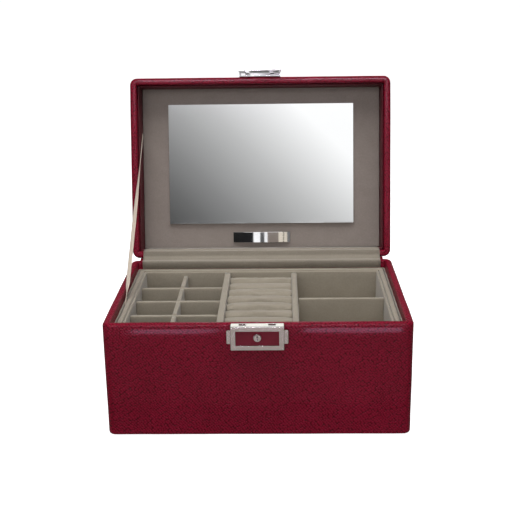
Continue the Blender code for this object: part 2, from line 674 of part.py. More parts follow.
def add_button(side, sign, metal, carrier):
    """A push button with its latch: a bar under the hook and a nose that holds it."""
    case_side = LOCK_WIDTH / 2
    bar_under, bar_top, nose = latch_levels()
    post_out = hook_edge() - HOOK_PLAY
    nose_tip = hook_edge() + LATCH_NOSE
    post_in = post_out - LATCH_POST_WIDTH
    pad_in = case_side - LOCK_WALL - BUTTON_TRAVEL
    tall = BUTTON_HEIGHT / 2
    spring_end = SPRING_LUG / 2 + SPRING_LENGTH + 2 * TOUCH
    foot = spring_z() - SPRING_RADIUS
    outline = [
        (case_side + BUTTON_PROUD, LOCK_MIDDLE - tall),
        (case_side + BUTTON_PROUD, LOCK_MIDDLE + tall),
        (pad_in, LOCK_MIDDLE + tall),
        (pad_in, bar_top),
        (post_out, bar_top),
        (post_out, nose - LATCH_NOSE_HEIGHT / 2),
        (nose_tip, nose - LATCH_NOSE_HEIGHT / 2),
        (nose_tip, nose + LATCH_NOSE_HEIGHT / 2),
        (post_in, nose + LATCH_NOSE_HEIGHT / 2),
        (post_in, bar_under),
        (spring_end, bar_under),
        (spring_end, foot),
        (pad_in, foot),
        (pad_in, LOCK_MIDDLE - tall),
    ]
    outline = [(sign * x, z) for x, z in outline]
    low, high = button_span()
    bm = prism_mesh(outline, low, high, 1)
    corner = [e for e in bm.edges
              if all(abs(v.co.x) > case_side + BUTTON_PROUD / 2 for v in e.verts)]
    bmesh.ops.bevel(bm, geom=corner, offset=BUTTON_CORNER, segments=2, profile=0.5,
                    affect="EDGES", material=-1)
    add_piece(f"button_{side}", bm, metal, carrier)


def add_spring(side, sign, steel):
    """A coil spring between a button's latch and the lug on the back plate."""
    curve = bpy.data.curves.new(f"spring_{side}", "CURVE")
    curve.dimensions = "3D"
    curve.bevel_depth = SPRING_WIRE
    curve.bevel_resolution = 1
    curve.use_fill_caps = True
    steps = SPRING_TURNS * 10
    spline = curve.splines.new("POLY")
    spline.points.add(steps)
    start = SPRING_LUG / 2 + TOUCH + SPRING_WIRE
    length = SPRING_LENGTH - 2 * SPRING_WIRE
    for i, point in enumerate(spline.points):
        angle = 2 * math.pi * SPRING_TURNS * i / steps
        point.co = (sign * (start + length * i / steps),
                    spring_y() + (SPRING_RADIUS - SPRING_WIRE) * math.cos(angle),
                    spring_z() + (SPRING_RADIUS - SPRING_WIRE) * math.sin(angle), 1)
    curve.materials.append(steel)
    spring = bpy.data.objects.new(f"spring_{side}", curve)
    bpy.context.scene.collection.objects.link(spring)


def add_key_cylinder(metal, carrier):
    """The lock's cylinder, with its keyway."""
    start = INLAY_FRONT - KEY_PROUD
    barrel = add_piece("key_cylinder",
                       cylinder_mesh(KEY_RADIUS, start, INLAY_BACK + KEY_REACH, LOCK_MIDDLE),
                       metal, carrier, smooth=True)
    cut(barrel, block_mesh((-KEYWAY_WIDTH / 2, start - KEYWAY_DEPTH, LOCK_MIDDLE - KEYWAY_HEIGHT / 2),
                           (KEYWAY_WIDTH / 2, start + KEYWAY_DEPTH, LOCK_MIDDLE + KEYWAY_HEIGHT / 2)),
        "keyway")


def add_catch(metal, carrier):
    """The catch on the lid's front edge, with two hooks that drop into the lock."""
    back = FRONT - TOUCH
    front = FRONT - CATCH_PROUD
    body_front = front + CATCH_LIP_THICKNESS
    half = CATCH_WIDTH / 2
    outline = [(-half, back), (-half, body_front), (-half - CATCH_LIP, body_front),
               (-half - CATCH_LIP, front), (half + CATCH_LIP, front),
               (half + CATCH_LIP, body_front), (half, body_front), (half, back)]
    top = CATCH_BOTTOM + CATCH_HEIGHT
    plate = add_prism("catch_plate", outline, CATCH_BOTTOM, top, 2, metal, carrier)
    past = 0.002
    room = block_mesh((-half + CATCH_WALL, body_front + TOUCH, CATCH_BOTTOM - past),
                      (half - CATCH_WALL, back - CATCH_WALL, top - CATCH_WALL))
    cut(plate, room, "catch_room")

    nose = latch_levels()[2]
    tall = LATCH_NOSE_HEIGHT / 2 + HOOK_PLAY
    hook_top = top - CATCH_WALL - TOUCH
    tip = CATCH_BOTTOM - HOOK_LENGTH
    inner, outer = hook_edge(), hook_edge() + HOOK_WIDTH
    notch = inner + LATCH_NOSE + HOOK_PLAY
    for side, sign in (("left", -1), ("right", 1)):
        outline = [(outer, hook_top), (outer, tip + LATCH_NOSE), (outer - LATCH_NOSE, tip),
                   (inner, tip), (inner, nose - tall), (notch, nose - tall),
                   (notch, nose + tall), (inner, nose + tall), (inner, hook_top)]
        add_prism(f"hook_{side}", [(sign * x, z) for x, z in outline],
                  HOOK_Y - HOOK_THICKNESS / 2, HOOK_Y + HOOK_THICKNESS / 2, 1, metal, carrier)


def build():
    """Model the whole case, standing open."""
    clear_scene()
    leather = finish_material("crimson_leather", (0.13, 0.008, 0.014), 0.35)
    suede = finish_material("taupe_suede", (0.28, 0.24, 0.19), 0.95)
    board = finish_material("grey_board", (0.32, 0.27, 0.21), 0.9)
    foam = finish_material("foam", (0.5, 0.47, 0.4), 0.95)
    felt = finish_material("felt", (0.03, 0.012, 0.014), 1.0)
    glass = finish_material("mirror_glass", (0.85, 0.86, 0.87), 0.02, 1.0)
    chrome = finish_material("chrome", (0.75, 0.75, 0.75), 0.08, 1.0)
    nickel = finish_material("satin_nickel", (0.6, 0.56, 0.52), 0.3, 1.0)
    steel = finish_material("steel", (0.5, 0.5, 0.5), 0.3, 1.0)
    ribbon = finish_material("cream_ribbon", (0.7, 0.6, 0.5), 0.7)

    hinge = joint_empty("lid_hinge_line", (0, HINGE_Y, HINGE_Z), -LID_OPEN_ANGLE)
    lift = joint_empty("tray_lift_line", (0, 0, TRAY_BOTTOM))
    key = joint_empty("key_line", (0, LOCK_FRONT, LOCK_MIDDLE))
    add_base(board, leather, felt, suede)
    add_tray_box(suede, lift)
    add_dividers(suede, lift)
    add_ring_rolls(suede, foam, lift)
    add_lid(board, leather, suede, glass, chrome, hinge)
    add_hinge(leather, suede)
    add_ribbon(ribbon)
    add_lock(nickel, leather, steel)
    add_key_cylinder(nickel, key)
    for side, sign in (("left", -1), ("right", 1)):
        slide = joint_empty(f"button_{side}_line", (sign * LOCK_WIDTH / 2, HOOK_Y, LOCK_MIDDLE))
        add_button(side, sign, nickel, slide)
        add_spring(side, sign, steel)
    add_catch(nickel, hinge)


build()
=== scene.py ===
"""Looks of a leather jewellery case: scaled leather, suede linings, mirror, clasp and stay.

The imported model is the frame. Every piece here is placed from it, in metres,
with the front towards -Y and +Z up. Pieces of the lid are modelled shut and
turned open about the hinge line.
"""

import json
import logging
import math
from collections.abc import Iterable, Sequence
from dataclasses import dataclass, field
from enum import Enum

import bmesh
import bpy
from mathutils import Matrix, Vector, noise


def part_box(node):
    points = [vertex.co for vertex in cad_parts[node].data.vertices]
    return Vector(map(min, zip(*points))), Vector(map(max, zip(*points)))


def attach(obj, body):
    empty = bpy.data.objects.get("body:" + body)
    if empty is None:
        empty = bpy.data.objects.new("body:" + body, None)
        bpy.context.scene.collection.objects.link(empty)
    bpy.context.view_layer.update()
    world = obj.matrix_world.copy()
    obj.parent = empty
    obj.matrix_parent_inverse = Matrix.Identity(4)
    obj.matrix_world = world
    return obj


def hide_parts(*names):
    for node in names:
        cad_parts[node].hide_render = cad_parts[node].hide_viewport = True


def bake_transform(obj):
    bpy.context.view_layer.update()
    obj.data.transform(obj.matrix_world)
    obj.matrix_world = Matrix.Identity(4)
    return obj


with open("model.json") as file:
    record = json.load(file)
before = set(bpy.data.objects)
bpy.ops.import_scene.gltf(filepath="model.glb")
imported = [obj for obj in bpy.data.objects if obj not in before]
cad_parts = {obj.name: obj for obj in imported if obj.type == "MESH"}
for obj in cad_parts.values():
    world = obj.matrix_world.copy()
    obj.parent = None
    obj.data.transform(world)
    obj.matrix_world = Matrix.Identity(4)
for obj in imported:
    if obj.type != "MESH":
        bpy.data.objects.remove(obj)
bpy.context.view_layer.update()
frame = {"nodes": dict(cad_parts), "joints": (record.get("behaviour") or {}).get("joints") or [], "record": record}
LOG = logging.getLogger("jewellery_case")
TINY = 1e-5

Point = tuple[float, float]
Color = tuple[float, float, float]


class Body(Enum):
    """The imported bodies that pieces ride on."""

    BASE = "base"
    LID = "lid"
    TRAY = "tray"
    LEFT_BUTTON = "left_button"
    RIGHT_BUTTON = "right_button"
    KEY = "key"


class Slot(Enum):
    """The record's material slots."""

    LEATHER = "leather"
    SUEDE = "suede"
    BOARD = "board"
    FOAM = "foam"
    FELT = "felt"
    GLASS = "mirror_glass"
    CHROME = "chrome"
    NICKEL = "nickel"
    STEEL = "steel"
    RIBBON = "ribbon"


class Run(Enum):
    """The way a long piece runs, as an axis number."""

    ACROSS = 0
    ALONG = 1


# --- Shader work ------------------------------------------------------------
class Signal:
    """A socket's value, which adds Math nodes when it is used in an expression."""

    def __init__(self, bench: "Bench", socket: bpy.types.NodeSocket) -> None:
        """Hold a socket of one bench's tree."""
        self.bench = bench
        self.socket = socket

    def _math(self, operation: str, *values: "Signal | float", clamp: bool = False) -> "Signal":
        """Add one Math node.

        Args:
            operation: The Math node's operation.
            values: What its sockets take, in order.
            clamp: Whether the result is held between 0 and 1.

        Returns:
            The node's result.
        """
        return self.bench.node("ShaderNodeMath", {"operation": operation, "use_clamp": clamp},
                               dict(enumerate(values)))

    def __add__(self, other: "Signal | float") -> "Signal":
        """Sum."""
        return self._math("ADD", self, other)

    __radd__ = __add__

    def __sub__(self, other: "Signal | float") -> "Signal":
        """Difference."""
        return self._math("SUBTRACT", self, other)

    def __rsub__(self, other: "Signal | float") -> "Signal":
        """Difference, from a number."""
        return self._math("SUBTRACT", other, self)

    def __mul__(self, other: "Signal | float") -> "Signal":
        """Product."""
        return self._math("MULTIPLY", self, other)

    __rmul__ = __mul__

    def __pow__(self, other: "Signal | float") -> "Signal":
        """Power."""
        return self._math("POWER", self, other)

    def clamped(self) -> "Signal":
        """Held between 0 and 1."""
        return self._math("ADD", self, 0.0, clamp=True)


class Bench:
    """One material in the making, with its shader and pattern nodes."""

    def __init__(self, name: str) -> None:
        """Start a material of that name."""
        self.material = bpy.data.materials.new(name)
        self.material.use_nodes = True
        self.tree = self.material.node_tree
        self.shader = self.tree.nodes["Principled BSDF"]

    def feed(self, socket: bpy.types.NodeSocket, value: "Signal | float | Sequence[float]") -> None:
        """Give a socket a link or a plain value.

        Args:
            socket: An input socket.
            value: A signal to link, or the value to set.
        """
        if isinstance(value, Signal):
            self.tree.links.new(value.socket, socket)
        elif isinstance(value, (tuple, list)) and len(value) == 3 and socket.type == "RGBA":
            socket.default_value = (*value, 1.0)
        else:
            socket.default_value = value

    def node(self, kind: str, settings: dict | None = None, values: dict | None = None,
             output: int | str = 0) -> Signal:
        """Add any node.

        Args:
            kind: The node's type.
            settings: Its own settings, set first; "stops" are a ramp's (place, color) pairs.
            values: What its input sockets take, by name or number.
            output: The output socket that is wanted.

        Returns:
            The output as a signal.
        """
        made = self.tree.nodes.new(kind)
        for name, value in (settings or {}).items():
            if name == "stops":
                self._set_stops(made.color_ramp, value)
            else:
                setattr(made, name, value)
        for name, value in (values or {}).items():
            self.feed(made.inputs[name], value)
        return Signal(self, made.outputs[output])

    @staticmethod
    def _set_stops(ramp: bpy.types.ColorRamp, stops: Sequence[tuple[float, Color]]) -> None:
        """Set a ramp's stops.

        Args:
            ramp: The ramp, with the two stops it starts with.
            stops: Pairs of place and color, in order.
        """
        while len(ramp.elements) < len(stops):
            ramp.elements.new(1.0)
        for element, (place, color) in zip(ramp.elements, stops):
            element.position = place
            element.color = (*color, 1.0)

    def places(self, scale: Sequence[float] = (1.0, 1.0, 1.0)) -> Signal:
        """The object's coordinates times a scale along each axis."""
        coords = self.node("ShaderNodeTexCoord", output="Object")
        return self.node("ShaderNodeVectorMath", {"operation": "MULTIPLY"},
                         {0: coords, 1: tuple(scale)})

    def noise(self, places: Signal, scale: float, detail: float = 2.0,
              roughness: float = 0.5) -> Signal:
        """Soft noise from 0 to 1, with features about 1 / scale across."""
        return self.node("ShaderNodeTexNoise", None,
                         {"Vector": places, "Scale": scale, "Detail": detail,
                          "Roughness": roughness})

    def blend(self, share: Signal | float, first: Signal | Color,
              second: Signal | Color) -> Signal:
        """Mix two colors.

        Args:
            share: The second color's share, from 0 to 1.
            first: A color.
            second: Another color.

        Returns:
            The mixed color.
        """
        mixer = self.tree.nodes.new("ShaderNodeMix")
        mixer.data_type = "RGBA"
        sockets = [s for s in mixer.inputs if s.type == "RGBA"]
        self.feed(mixer.inputs[0], share)
        self.feed(sockets[0], first)
        self.feed(sockets[1], second)
        return Signal(self, next(s for s in mixer.outputs if s.type == "RGBA"))

    def split(self, value: Signal, kind: str = "ShaderNodeSeparateXYZ") -> list[Signal]:
        """The three parts of a vector or a color."""
        first = self.node(kind, None, {0: value})
        return [Signal(self, output) for output in first.socket.node.outputs[:3]]

    def above(self, first: Signal, second: Signal | float) -> Signal:
        """1 where the first is greater than the second, and 0 elsewhere."""
        return self.node("ShaderNodeMath", {"operation": "GREATER_THAN"}, {0: first, 1: second})

    def size_of(self, value: Signal) -> Signal:
        """A number without its sign."""
        return self.node("ShaderNodeMath", {"operation": "ABSOLUTE"}, {0: value})

    def relief(self, height: Signal, depth: float, strength: float) -> Signal:
        """A bumped normal from a height signal, whose full swing is depth metres."""
        return self.node("ShaderNodeBump", None,
                         {"Height": height, "Distance": depth, "Strength": strength})

    def dress(self, **values: "Signal | float | Sequence[float]") -> bpy.types.Material:
        """Feed the shader, with sockets named in snake case.

        Args:
            values: What each socket takes, such as base_color or coat_weight.

        Returns:
            The finished material.
        """
        for name, value in values.items():
            socket = name.replace("_", " ").title().replace("Ior", "IOR")
            self.feed(self.shader.inputs[socket], value)
        return self.material


# --- Finishes ---------------------------------------------------------------
@dataclass(frozen=True)
class ScaledLeather:
    """Glossy leather embossed with small rounded scales in swaying rows."""

    name: str
    crown: Color
    groove: Color
    pitch: float = 0.0021
    depth: float = 0.00045
    strength: float = 0.95
    gloss: float = 0.29
    sway: float = 2.6
    slant: tuple[float, float, float, float] = (0.76, 0.64, 0.79, 0.61)

    def lay_flat(self, bench: Bench) -> Signal:
        """Coordinates that lie on whichever side of the case a point is on.

        Args:
            bench: The material in the making.

        Returns:
            A vector whose X and Y run along the surface, in scales.
        """
        rows = 1.0 / self.pitch
        place = bench.split(bench.places((rows, rows, rows)))
        facing = [bench.size_of(part) for part in
                  bench.split(bench.node("ShaderNodeTexCoord", output="Normal"))]
        sideways = bench.above(facing[0], facing[1]) * bench.above(facing[0], facing[2])
        upward = bench.above(facing[2], facing[0]) * bench.above(facing[2], facing[1])
        across = place[0] + (place[1] - place[0]) * sideways
        along = place[2] + (place[1] - place[2]) * upward
        a, b, c, d = self.slant
        return bench.node("ShaderNodeCombineXYZ", None,
                          {0: across * a + along * b, 1: along * c - across * d})

    def make(self) -> bpy.types.Material:
        """Build the material."""
        bench = Bench(self.name)
        flat = self.lay_flat(bench)
        drift = bench.node("ShaderNodeTexNoise", None,
                           {"Vector": flat, "Scale": 0.075, "Detail": 1.5}, "Color")
        swayed = bench.node("ShaderNodeVectorMath", {"operation": "MULTIPLY_ADD"},
                            {0: drift, 1: (self.sway,) * 3, 2: flat})
        cells = {"Vector": swayed, "Scale": 1.0, "Randomness": 0.5}
        edge = bench.node("ShaderNodeTexVoronoi",
                          {"voronoi_dimensions": "2D", "feature": "DISTANCE_TO_EDGE"}, cells)
        reach = bench.node("ShaderNodeTexVoronoi",
                           {"voronoi_dimensions": "2D", "feature": "F1"}, cells)
        own = bench.node("ShaderNodeTexVoronoi",
                         {"voronoi_dimensions": "2D", "feature": "F1"}, cells, "Color")
        tone = bench.split(own, "ShaderNodeSeparateColor")[0]
        dome = (edge * 4.5).clamped() ** 0.6
        pit = ((reach - 0.40) * 3.0).clamped()
        pores = bench.noise(flat, 5.0, 3.0)
        patches = bench.noise(flat, 0.035, 2.0)
        share = (0.70 + dome * 0.25 - pit * 0.95 + (tone - 0.5) * 0.25
                 + (patches - 0.5) * 0.5).clamped()
        height = (1.0 - reach * reach * 1.7) + pores * 0.06
        rough = self.gloss + (1.0 - dome) * 0.25 + (pores - 0.5) * 0.10
        return bench.dress(base_color=bench.blend(share, self.groove, self.crown),
                           roughness=rough.clamped(), specular_ior_level=0.05,
                           coat_weight=0.15, coat_roughness=0.10,
                           normal=bench.relief(height, self.depth, self.strength))


@dataclass(frozen=True)
class PlainLeather:
    """Thin smooth-grained leather for the inlay and the inside of the lid."""

    name: str
    color: Color
    shade: Color
    grain: float = 0.0007

    def make(self) -> bpy.types.Material:
        """Build the material."""
        bench = Bench(self.name)
        places = bench.places()
        grain = bench.node("ShaderNodeTexVoronoi", {"feature": "DISTANCE_TO_EDGE"},
                           {"Vector": places, "Scale": 1.0 / self.grain, "Randomness": 1.0})
        cloud = bench.noise(places, 90.0, 3.0)
        share = (cloud * 0.9 + (grain * 4.0).clamped() * 0.3).clamped()
        height = (grain * 5.0).clamped() + cloud * 0.3
        return bench.dress(base_color=bench.blend(share, self.shade, self.color),
                           roughness=0.42 + cloud * 0.14, specular_ior_level=0.15,
                           normal=bench.relief(height, 0.00010, 0.5))


@dataclass(frozen=True)
class Suede:
    """Brushed suede cloth, with a nap that lies lighter or darker in strokes."""

    name: str
    light: Color
    dark: Color
    nap: float = 0.00045

    def make(self) -> bpy.types.Material:
        """Build the material."""
        bench = Bench(self.name)
        places = bench.places()
        strokes = bench.noise(bench.places((1.0, 1.6, 1.3)), 55.0, 3.0, 0.6)
        fibres = bench.noise(places, 1.0 / self.nap, 2.0, 0.7)
        flecks = bench.noise(places, 0.35 / self.nap, 2.0, 0.6)
        share = (0.5 + (strokes - 0.5) * 0.7 + (flecks - 0.5) * 0.9 + (fibres - 0.5) * 0.5)
        height = fibres * 0.6 + flecks * 0.5
        return bench.dress(base_color=bench.blend(share.clamped(), self.dark, self.light),
                           roughness=0.86 + fibres * 0.12, specular_ior_level=0.18,
                           sheen_weight=0.25, sheen_roughness=0.5,
                           normal=bench.relief(height, 0.00022, 0.6))


@dataclass(frozen=True)
class Metal:
    """Plated metal, polished or satin, with fine rub marks along one axis."""

    name: str
    color: Color
    roughness: float
    brush: tuple[float, float, float] = (60.0, 900.0, 900.0)
    rub: float = 0.10
    depth: float = 0.000003

    def make(self) -> bpy.types.Material:
        """Build the material."""
        bench = Bench(self.name)
        marks = bench.noise(bench.places(self.brush), 1.0, 3.0, 0.6)
        smudge = bench.noise(bench.places(), 130.0, 3.0)
        dull = tuple(c * 0.86 for c in self.color)
        rough = self.roughness + (marks - 0.5) * self.rub + (smudge - 0.5) * self.rub * 0.6
        return bench.dress(base_color=bench.blend(smudge, dull, self.color), metallic=1.0,
                           roughness=rough.clamped(),
                           normal=bench.relief(marks, self.depth, 0.4))


@dataclass(frozen=True)
class SilveredGlass:
    """Mirror glass, clean but for the faintest haze."""

    name: str
    color: Color

    def make(self) -> bpy.types.Material:
        """Build the material."""
        bench = Bench(self.name)
        haze = bench.noise(bench.places(), 24.0, 3.0)
        return bench.dress(base_color=bench.blend(haze * 0.25, self.color, (0.8, 0.81, 0.81)),
                           metallic=1.0, roughness=0.012 + haze * 0.02)


@dataclass(frozen=True)
class SatinRibbon:
    """Woven satin ribbon, whose threads run along it."""

    name: str
    light: Color
    dark: Color

    def make(self) -> bpy.types.Material:
        """Build the material."""
        bench = Bench(self.name)
        uv = bench.node("ShaderNodeTexCoord", output="UV")
        warp = bench.node("ShaderNodeTexWave", {"wave_type": "BANDS", "bands_direction": "X"},
                          {"Vector": uv, "Scale": 5.0, "Distortion": 0.6, "Detail": 1.0})
        weft = bench.node("ShaderNodeTexWave", {"wave_type": "BANDS", "bands_direction": "Y"},
                          {"Vector": uv, "Scale": 60.0, "Distortion": 0.4, "Detail": 1.0})
        cloud = bench.noise(bench.places(), 120.0, 2.0)
        share = (warp * 0.5 + weft * 0.25 + cloud * 0.4).clamped()
        return bench.dress(base_color=bench.blend(share, self.dark, self.light),
                           roughness=0.48 + weft * 0.12, specular_ior_level=0.5,
                           sheen_weight=0.2, sheen_roughness=0.4,
                           normal=bench.relief(warp + weft * 0.5, 0.00008, 0.5))


@dataclass(frozen=True)
class Fibrous:
    """A dull fibrous stuff: felt, foam or raw board."""

    name: str
    light: Color
    dark: Color
    fibre: float = 0.0006
    depth: float = 0.0002

    def make(self) -> bpy.types.Material:
        """Build the material."""
        bench = Bench(self.name)
        places = bench.places()
        fibres = bench.noise(places, 1.0 / self.fibre, 4.0, 0.7)
        cloud = bench.noise(places, 40.0, 3.0)
        share = (fibres * 0.7 + cloud * 0.6 - 0.15).clamped()
        return bench.dress(base_color=bench.blend(share, self.dark, self.light),
                           roughness=0.9 + fibres * 0.08, specular_ior_level=0.1,
                           normal=bench.relief(fibres, self.depth, 0.7))


Finish = ScaledLeather | PlainLeather | Suede | Metal | SilveredGlass | SatinRibbon | Fibrous

def made(finish: Finish) -> bpy.types.Material:
    """A field that holds a finish's material, made together with its set."""
    return field(default_factory=finish.make)

@dataclass
class Finishes:
    """Every finish of the case, made once."""

    hide: bpy.types.Material = made(
        ScaledLeather("crimson_scaled_leather", (0.255, 0.0055, 0.0260), (0.075, 0.0006, 0.0055)))
    inlay: bpy.types.Material = made(
        PlainLeather("crimson_inlay_leather", (0.205, 0.0085, 0.0220), (0.120, 0.004, 0.0110)))
    # The lid's turned-in leather: darker and browner than the inlay, painted shade for the inside of the lid.
    turned: bpy.types.Material = made(
        PlainLeather("lid_leather_painted_shade", (0.135, 0.0180, 0.0260), (0.085, 0.0100, 0.0150)))
    suede: bpy.types.Material = made(
        Suede("taupe_suede", (0.355, 0.315, 0.248), (0.265, 0.233, 0.182)))
    lid_suede: bpy.types.Material = made(
        Suede("taupe_lid_suede", (0.335, 0.288, 0.258), (0.245, 0.208, 0.186)))
    hinge_suede: bpy.types.Material = made(
        Suede("taupe_hinge_suede", (0.315, 0.280, 0.226), (0.225, 0.198, 0.158)))
    nickel: bpy.types.Material = made(Metal("satin_nickel", (0.57, 0.565, 0.525), 0.18))
    chrome: bpy.types.Material = made(
        Metal("polished_chrome", (0.86, 0.86, 0.87), 0.06, rub=0.04, depth=0.000001))
    steel: bpy.types.Material = made(Metal("spring_steel", (0.55, 0.55, 0.56), 0.32))
    # Near-black metal for the block in the keyway: painted shade, not a finish the lock has.
    keyway_shade: bpy.types.Material = made(Metal("painted_shade_black", (0.03, 0.03, 0.03), 0.5))
    glass: bpy.types.Material = made(SilveredGlass("silvered_glass", (0.9, 0.91, 0.915)))
    ribbon: bpy.types.Material = made(
        SatinRibbon("cream_satin", (0.80, 0.69, 0.58), (0.60, 0.49, 0.39)))
    felt: bpy.types.Material = made(
        Fibrous("dark_felt", (0.05, 0.016, 0.020), (0.022, 0.008, 0.010)))
    foam: bpy.types.Material = made(
        Fibrous("bed_foam", (0.55, 0.51, 0.43), (0.40, 0.36, 0.30), 0.0012))
    board: bpy.types.Material = made(
        Fibrous("raw_board", (0.36, 0.30, 0.23), (0.25, 0.20, 0.15)))

# --- Mesh work --------------------------------------------------------------
def arc_points(centre: Point, radius: float, start: float, end: float,
               steps: int = 6) -> list[Point]:
    """Points of an arc.

    Args:
        centre: The arc's centre.
        radius: Its radius.
        start: The angle it starts at, in degrees.
        end: The angle it ends at, in degrees.
        steps: How many chords it is made of.

    Returns:
        The points, both ends included.
    """
    angles = [math.radians(start + (end - start) * i / steps) for i in range(steps + 1)]
    return [(centre[0] + radius * math.cos(a), centre[1] + radius * math.sin(a)) for a in angles]


def line_points(start: Point, end: Point, step: float) -> list[Point]:
    """Points strictly between two points, about a step apart."""
    count = max(1, round(math.dist(start, end) / step))
    return [tuple(Vector(start).lerp(Vector(end), i / count)) for i in range(1, count)]


def filleted(path: Sequence[Point], radii: Sequence[float], steps: int = 5) -> list[Point]:
    """Round a path's inner corners.

    Args:
        path: The path's points.
        radii: How far each inner corner's rounding reaches along its two sides.
        steps: How many chords each rounding has.

    Returns:
        The rounded path.
    """
    points = [Vector(p) for p in path]
    made = [points[0]]
    for before, corner, after, reach in zip(points, points[1:], points[2:], radii):
        first = corner + (before - corner).normalized() * reach
        last = corner + (after - corner).normalized() * reach
        for i in range(steps + 1):
            t = i / steps
            made.append(first * (1 - t) ** 2 + corner * (2 * t * (1 - t)) + last * t ** 2)
    made.append(points[-1])
    return [tuple(p) for p in made]


def edges_of(parts: Iterable) -> list[bmesh.types.BMEdge]:
    """The edges among an operator's results."""
    return [part for part in parts if isinstance(part, bmesh.types.BMEdge)]


def verts_of(parts: Iterable) -> list[bmesh.types.BMVert]:
    """The vertices among an operator's results."""
    return [part for part in parts if isinstance(part, bmesh.types.BMVert)]


def drag_edges(bm: bmesh.types.BMesh, edges: list[bmesh.types.BMEdge], travel: Vector,
               step: float) -> list[bmesh.types.BMEdge]:
    """Extrude edges in equal steps.

    Args:
        bm: The mesh.
        edges: The edges to drag.
        travel: How far they go in all.
        step: About how far each step goes.

    Returns:
        The edges at the far end.
    """
    count = max(1, round(travel.length / step))
    for _ in range(count):
        grown = bmesh.ops.extrude_edge_only(bm, edges=edges)["geom"]
        edges = edges_of(grown)
        bmesh.ops.translate(bm, vec=travel / count, verts=verts_of(grown))
    return edges


@dataclass(frozen=True)
class Plan:
    """A rounded rectangle seen from above, centred on the origin."""

    half_x: float
    half_y: float
    corner: float
    corner_steps: int = 8
    step: float = 0.006

    def sweep(self, profile: Sequence[Point], closed: bool) -> bmesh.types.BMesh:
        """Carry a profile all the way round.

        Args:
            profile: Pairs of inset from the outline and height.
            closed: Whether the profile joins up with its own start.

        Returns:
            The swept mesh.
        """
        bm = bmesh.new()
        line = [bm.verts.new((self.half_x - inset, 0.0, height)) for inset, height in profile]
        edges = [bm.edges.new(pair) for pair in zip(line, line[1:])]
        if closed:
            edges.append(bm.edges.new((line[-1], line[0])))
        straight_x, straight_y = self.half_x - self.corner, self.half_y - self.corner
        edges = drag_edges(bm, edges, Vector((0.0, straight_y, 0.0)), self.step)
        start = list({v for e in edges for v in e.verts}) + edges
        spun = bmesh.ops.spin(bm, geom=start, cent=(straight_x, straight_y, 0.0),
                              axis=(0.0, 0.0, 1.0), angle=math.pi / 2, steps=self.corner_steps,
                              use_duplicate=False)
        drag_edges(bm, edges_of(spun["geom_last"]), Vector((-straight_x, 0.0, 0.0)), self.step)
        for axis in ("X", "Y"):
            everything = list(bm.verts) + list(bm.edges) + list(bm.faces)
            bmesh.ops.mirror(bm, geom=everything, axis=axis, merge_dist=TINY)
        bmesh.ops.remove_doubles(bm, verts=bm.verts, dist=TINY / 10)
        bmesh.ops.recalc_face_normals(bm, faces=bm.faces)
        return bm


def node_copy(node: str, flat: float = 0.5) -> bmesh.types.BMesh:
    """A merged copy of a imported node's mesh.

    Args:
        node: The node's name.
        flat: Faces that meet at less than this many degrees become one.

    Returns:
        The copy, as a mesh to work on.
    """
    bm = bmesh.new()
    bm.from_mesh(frame["nodes"][node].data)
    bmesh.ops.remove_doubles(bm, verts=bm.verts, dist=TINY)
    bmesh.ops.dissolve_limit(bm, angle_limit=math.radians(flat), use_dissolve_boundaries=False,
                             verts=bm.verts, edges=bm.edges)
    return bm


def ease_edges(bm: bmesh.types.BMesh, width: float, segments: int = 2,
               over: float = 30.0) -> None:
    """Round every edge that is sharper than an angle.

    Args:
        bm: The mesh.
        width: How far the rounding reaches on each side.
        segments: How many facets it has.
        over: The angle between faces, in degrees.
    """
    sharp = [e for e in bm.edges
             if e.is_manifold and e.calc_face_angle(0.0) > math.radians(over)]
    bmesh.ops.bevel(bm, geom=sharp, offset=width, segments=segments, profile=0.5,
                    affect="EDGES", clamp_overlap=True, material=-1)


def cut_cells(bm: bmesh.types.BMesh, pitch: float) -> None:
    """Divide a mesh with planes across every axis, so that it can flex.

    Args:
        bm: The mesh.
        pitch: The distance between planes.
    """
    for axis in range(3):
        low = min(v.co[axis] for v in bm.verts)
        high = max(v.co[axis] for v in bm.verts)
        count = int((high - low) / pitch)
        normal = Vector([float(i == axis) for i in range(3)])
        for n in range(1, count + 1):
            place = normal * (low + (high - low) * n / (count + 1))
            everything = list(bm.verts) + list(bm.edges) + list(bm.faces)
            bmesh.ops.bisect_plane(bm, geom=everything, plane_co=place, plane_no=normal,
                                   dist=TINY / 10)


def ruffle(bm: bmesh.types.BMesh, depth: float, span: float, seed: float = 0.0) -> None:
    """Push a mesh in and out a little, as hand-wrapped covers lie.

    Args:
        bm: The mesh.
        depth: The furthest a point moves.
        span: The size of the undulations.
        seed: A shift of the pattern, so that like pieces differ.
    """
    bm.normal_update()
    shift = Vector((seed, seed * 1.7, seed * 0.6))
    for vert in bm.verts:
        swell = noise.noise(vert.co / span + shift)
        vert.co += vert.normal * (depth * max(-1.0, min(1.0, swell)))


def add_object(name: str, bm: bmesh.types.BMesh,
               material: bpy.types.Material) -> bpy.types.Object:
    """Turn a mesh into an object of the scene.

    Args:
        name: The object's name.
        bm: Its mesh, in place, which is used up.
        material: Its material.

    Returns:
        The object.
    """
    mesh = bpy.data.meshes.new(name)
    bm.to_mesh(mesh)
    bm.free()
    mesh.materials.append(material)
    made = bpy.data.objects.new(name, mesh)
    bpy.context.scene.collection.objects.link(made)
    return made


def even_shading(piece: bpy.types.Object) -> None:
    """Let a piece's flat faces set its shading, so that only its roundings curve."""
    evened = piece.modifiers.new("even_shading", "WEIGHTED_NORMAL")
    evened.weight = 100
    evened.keep_sharp = True


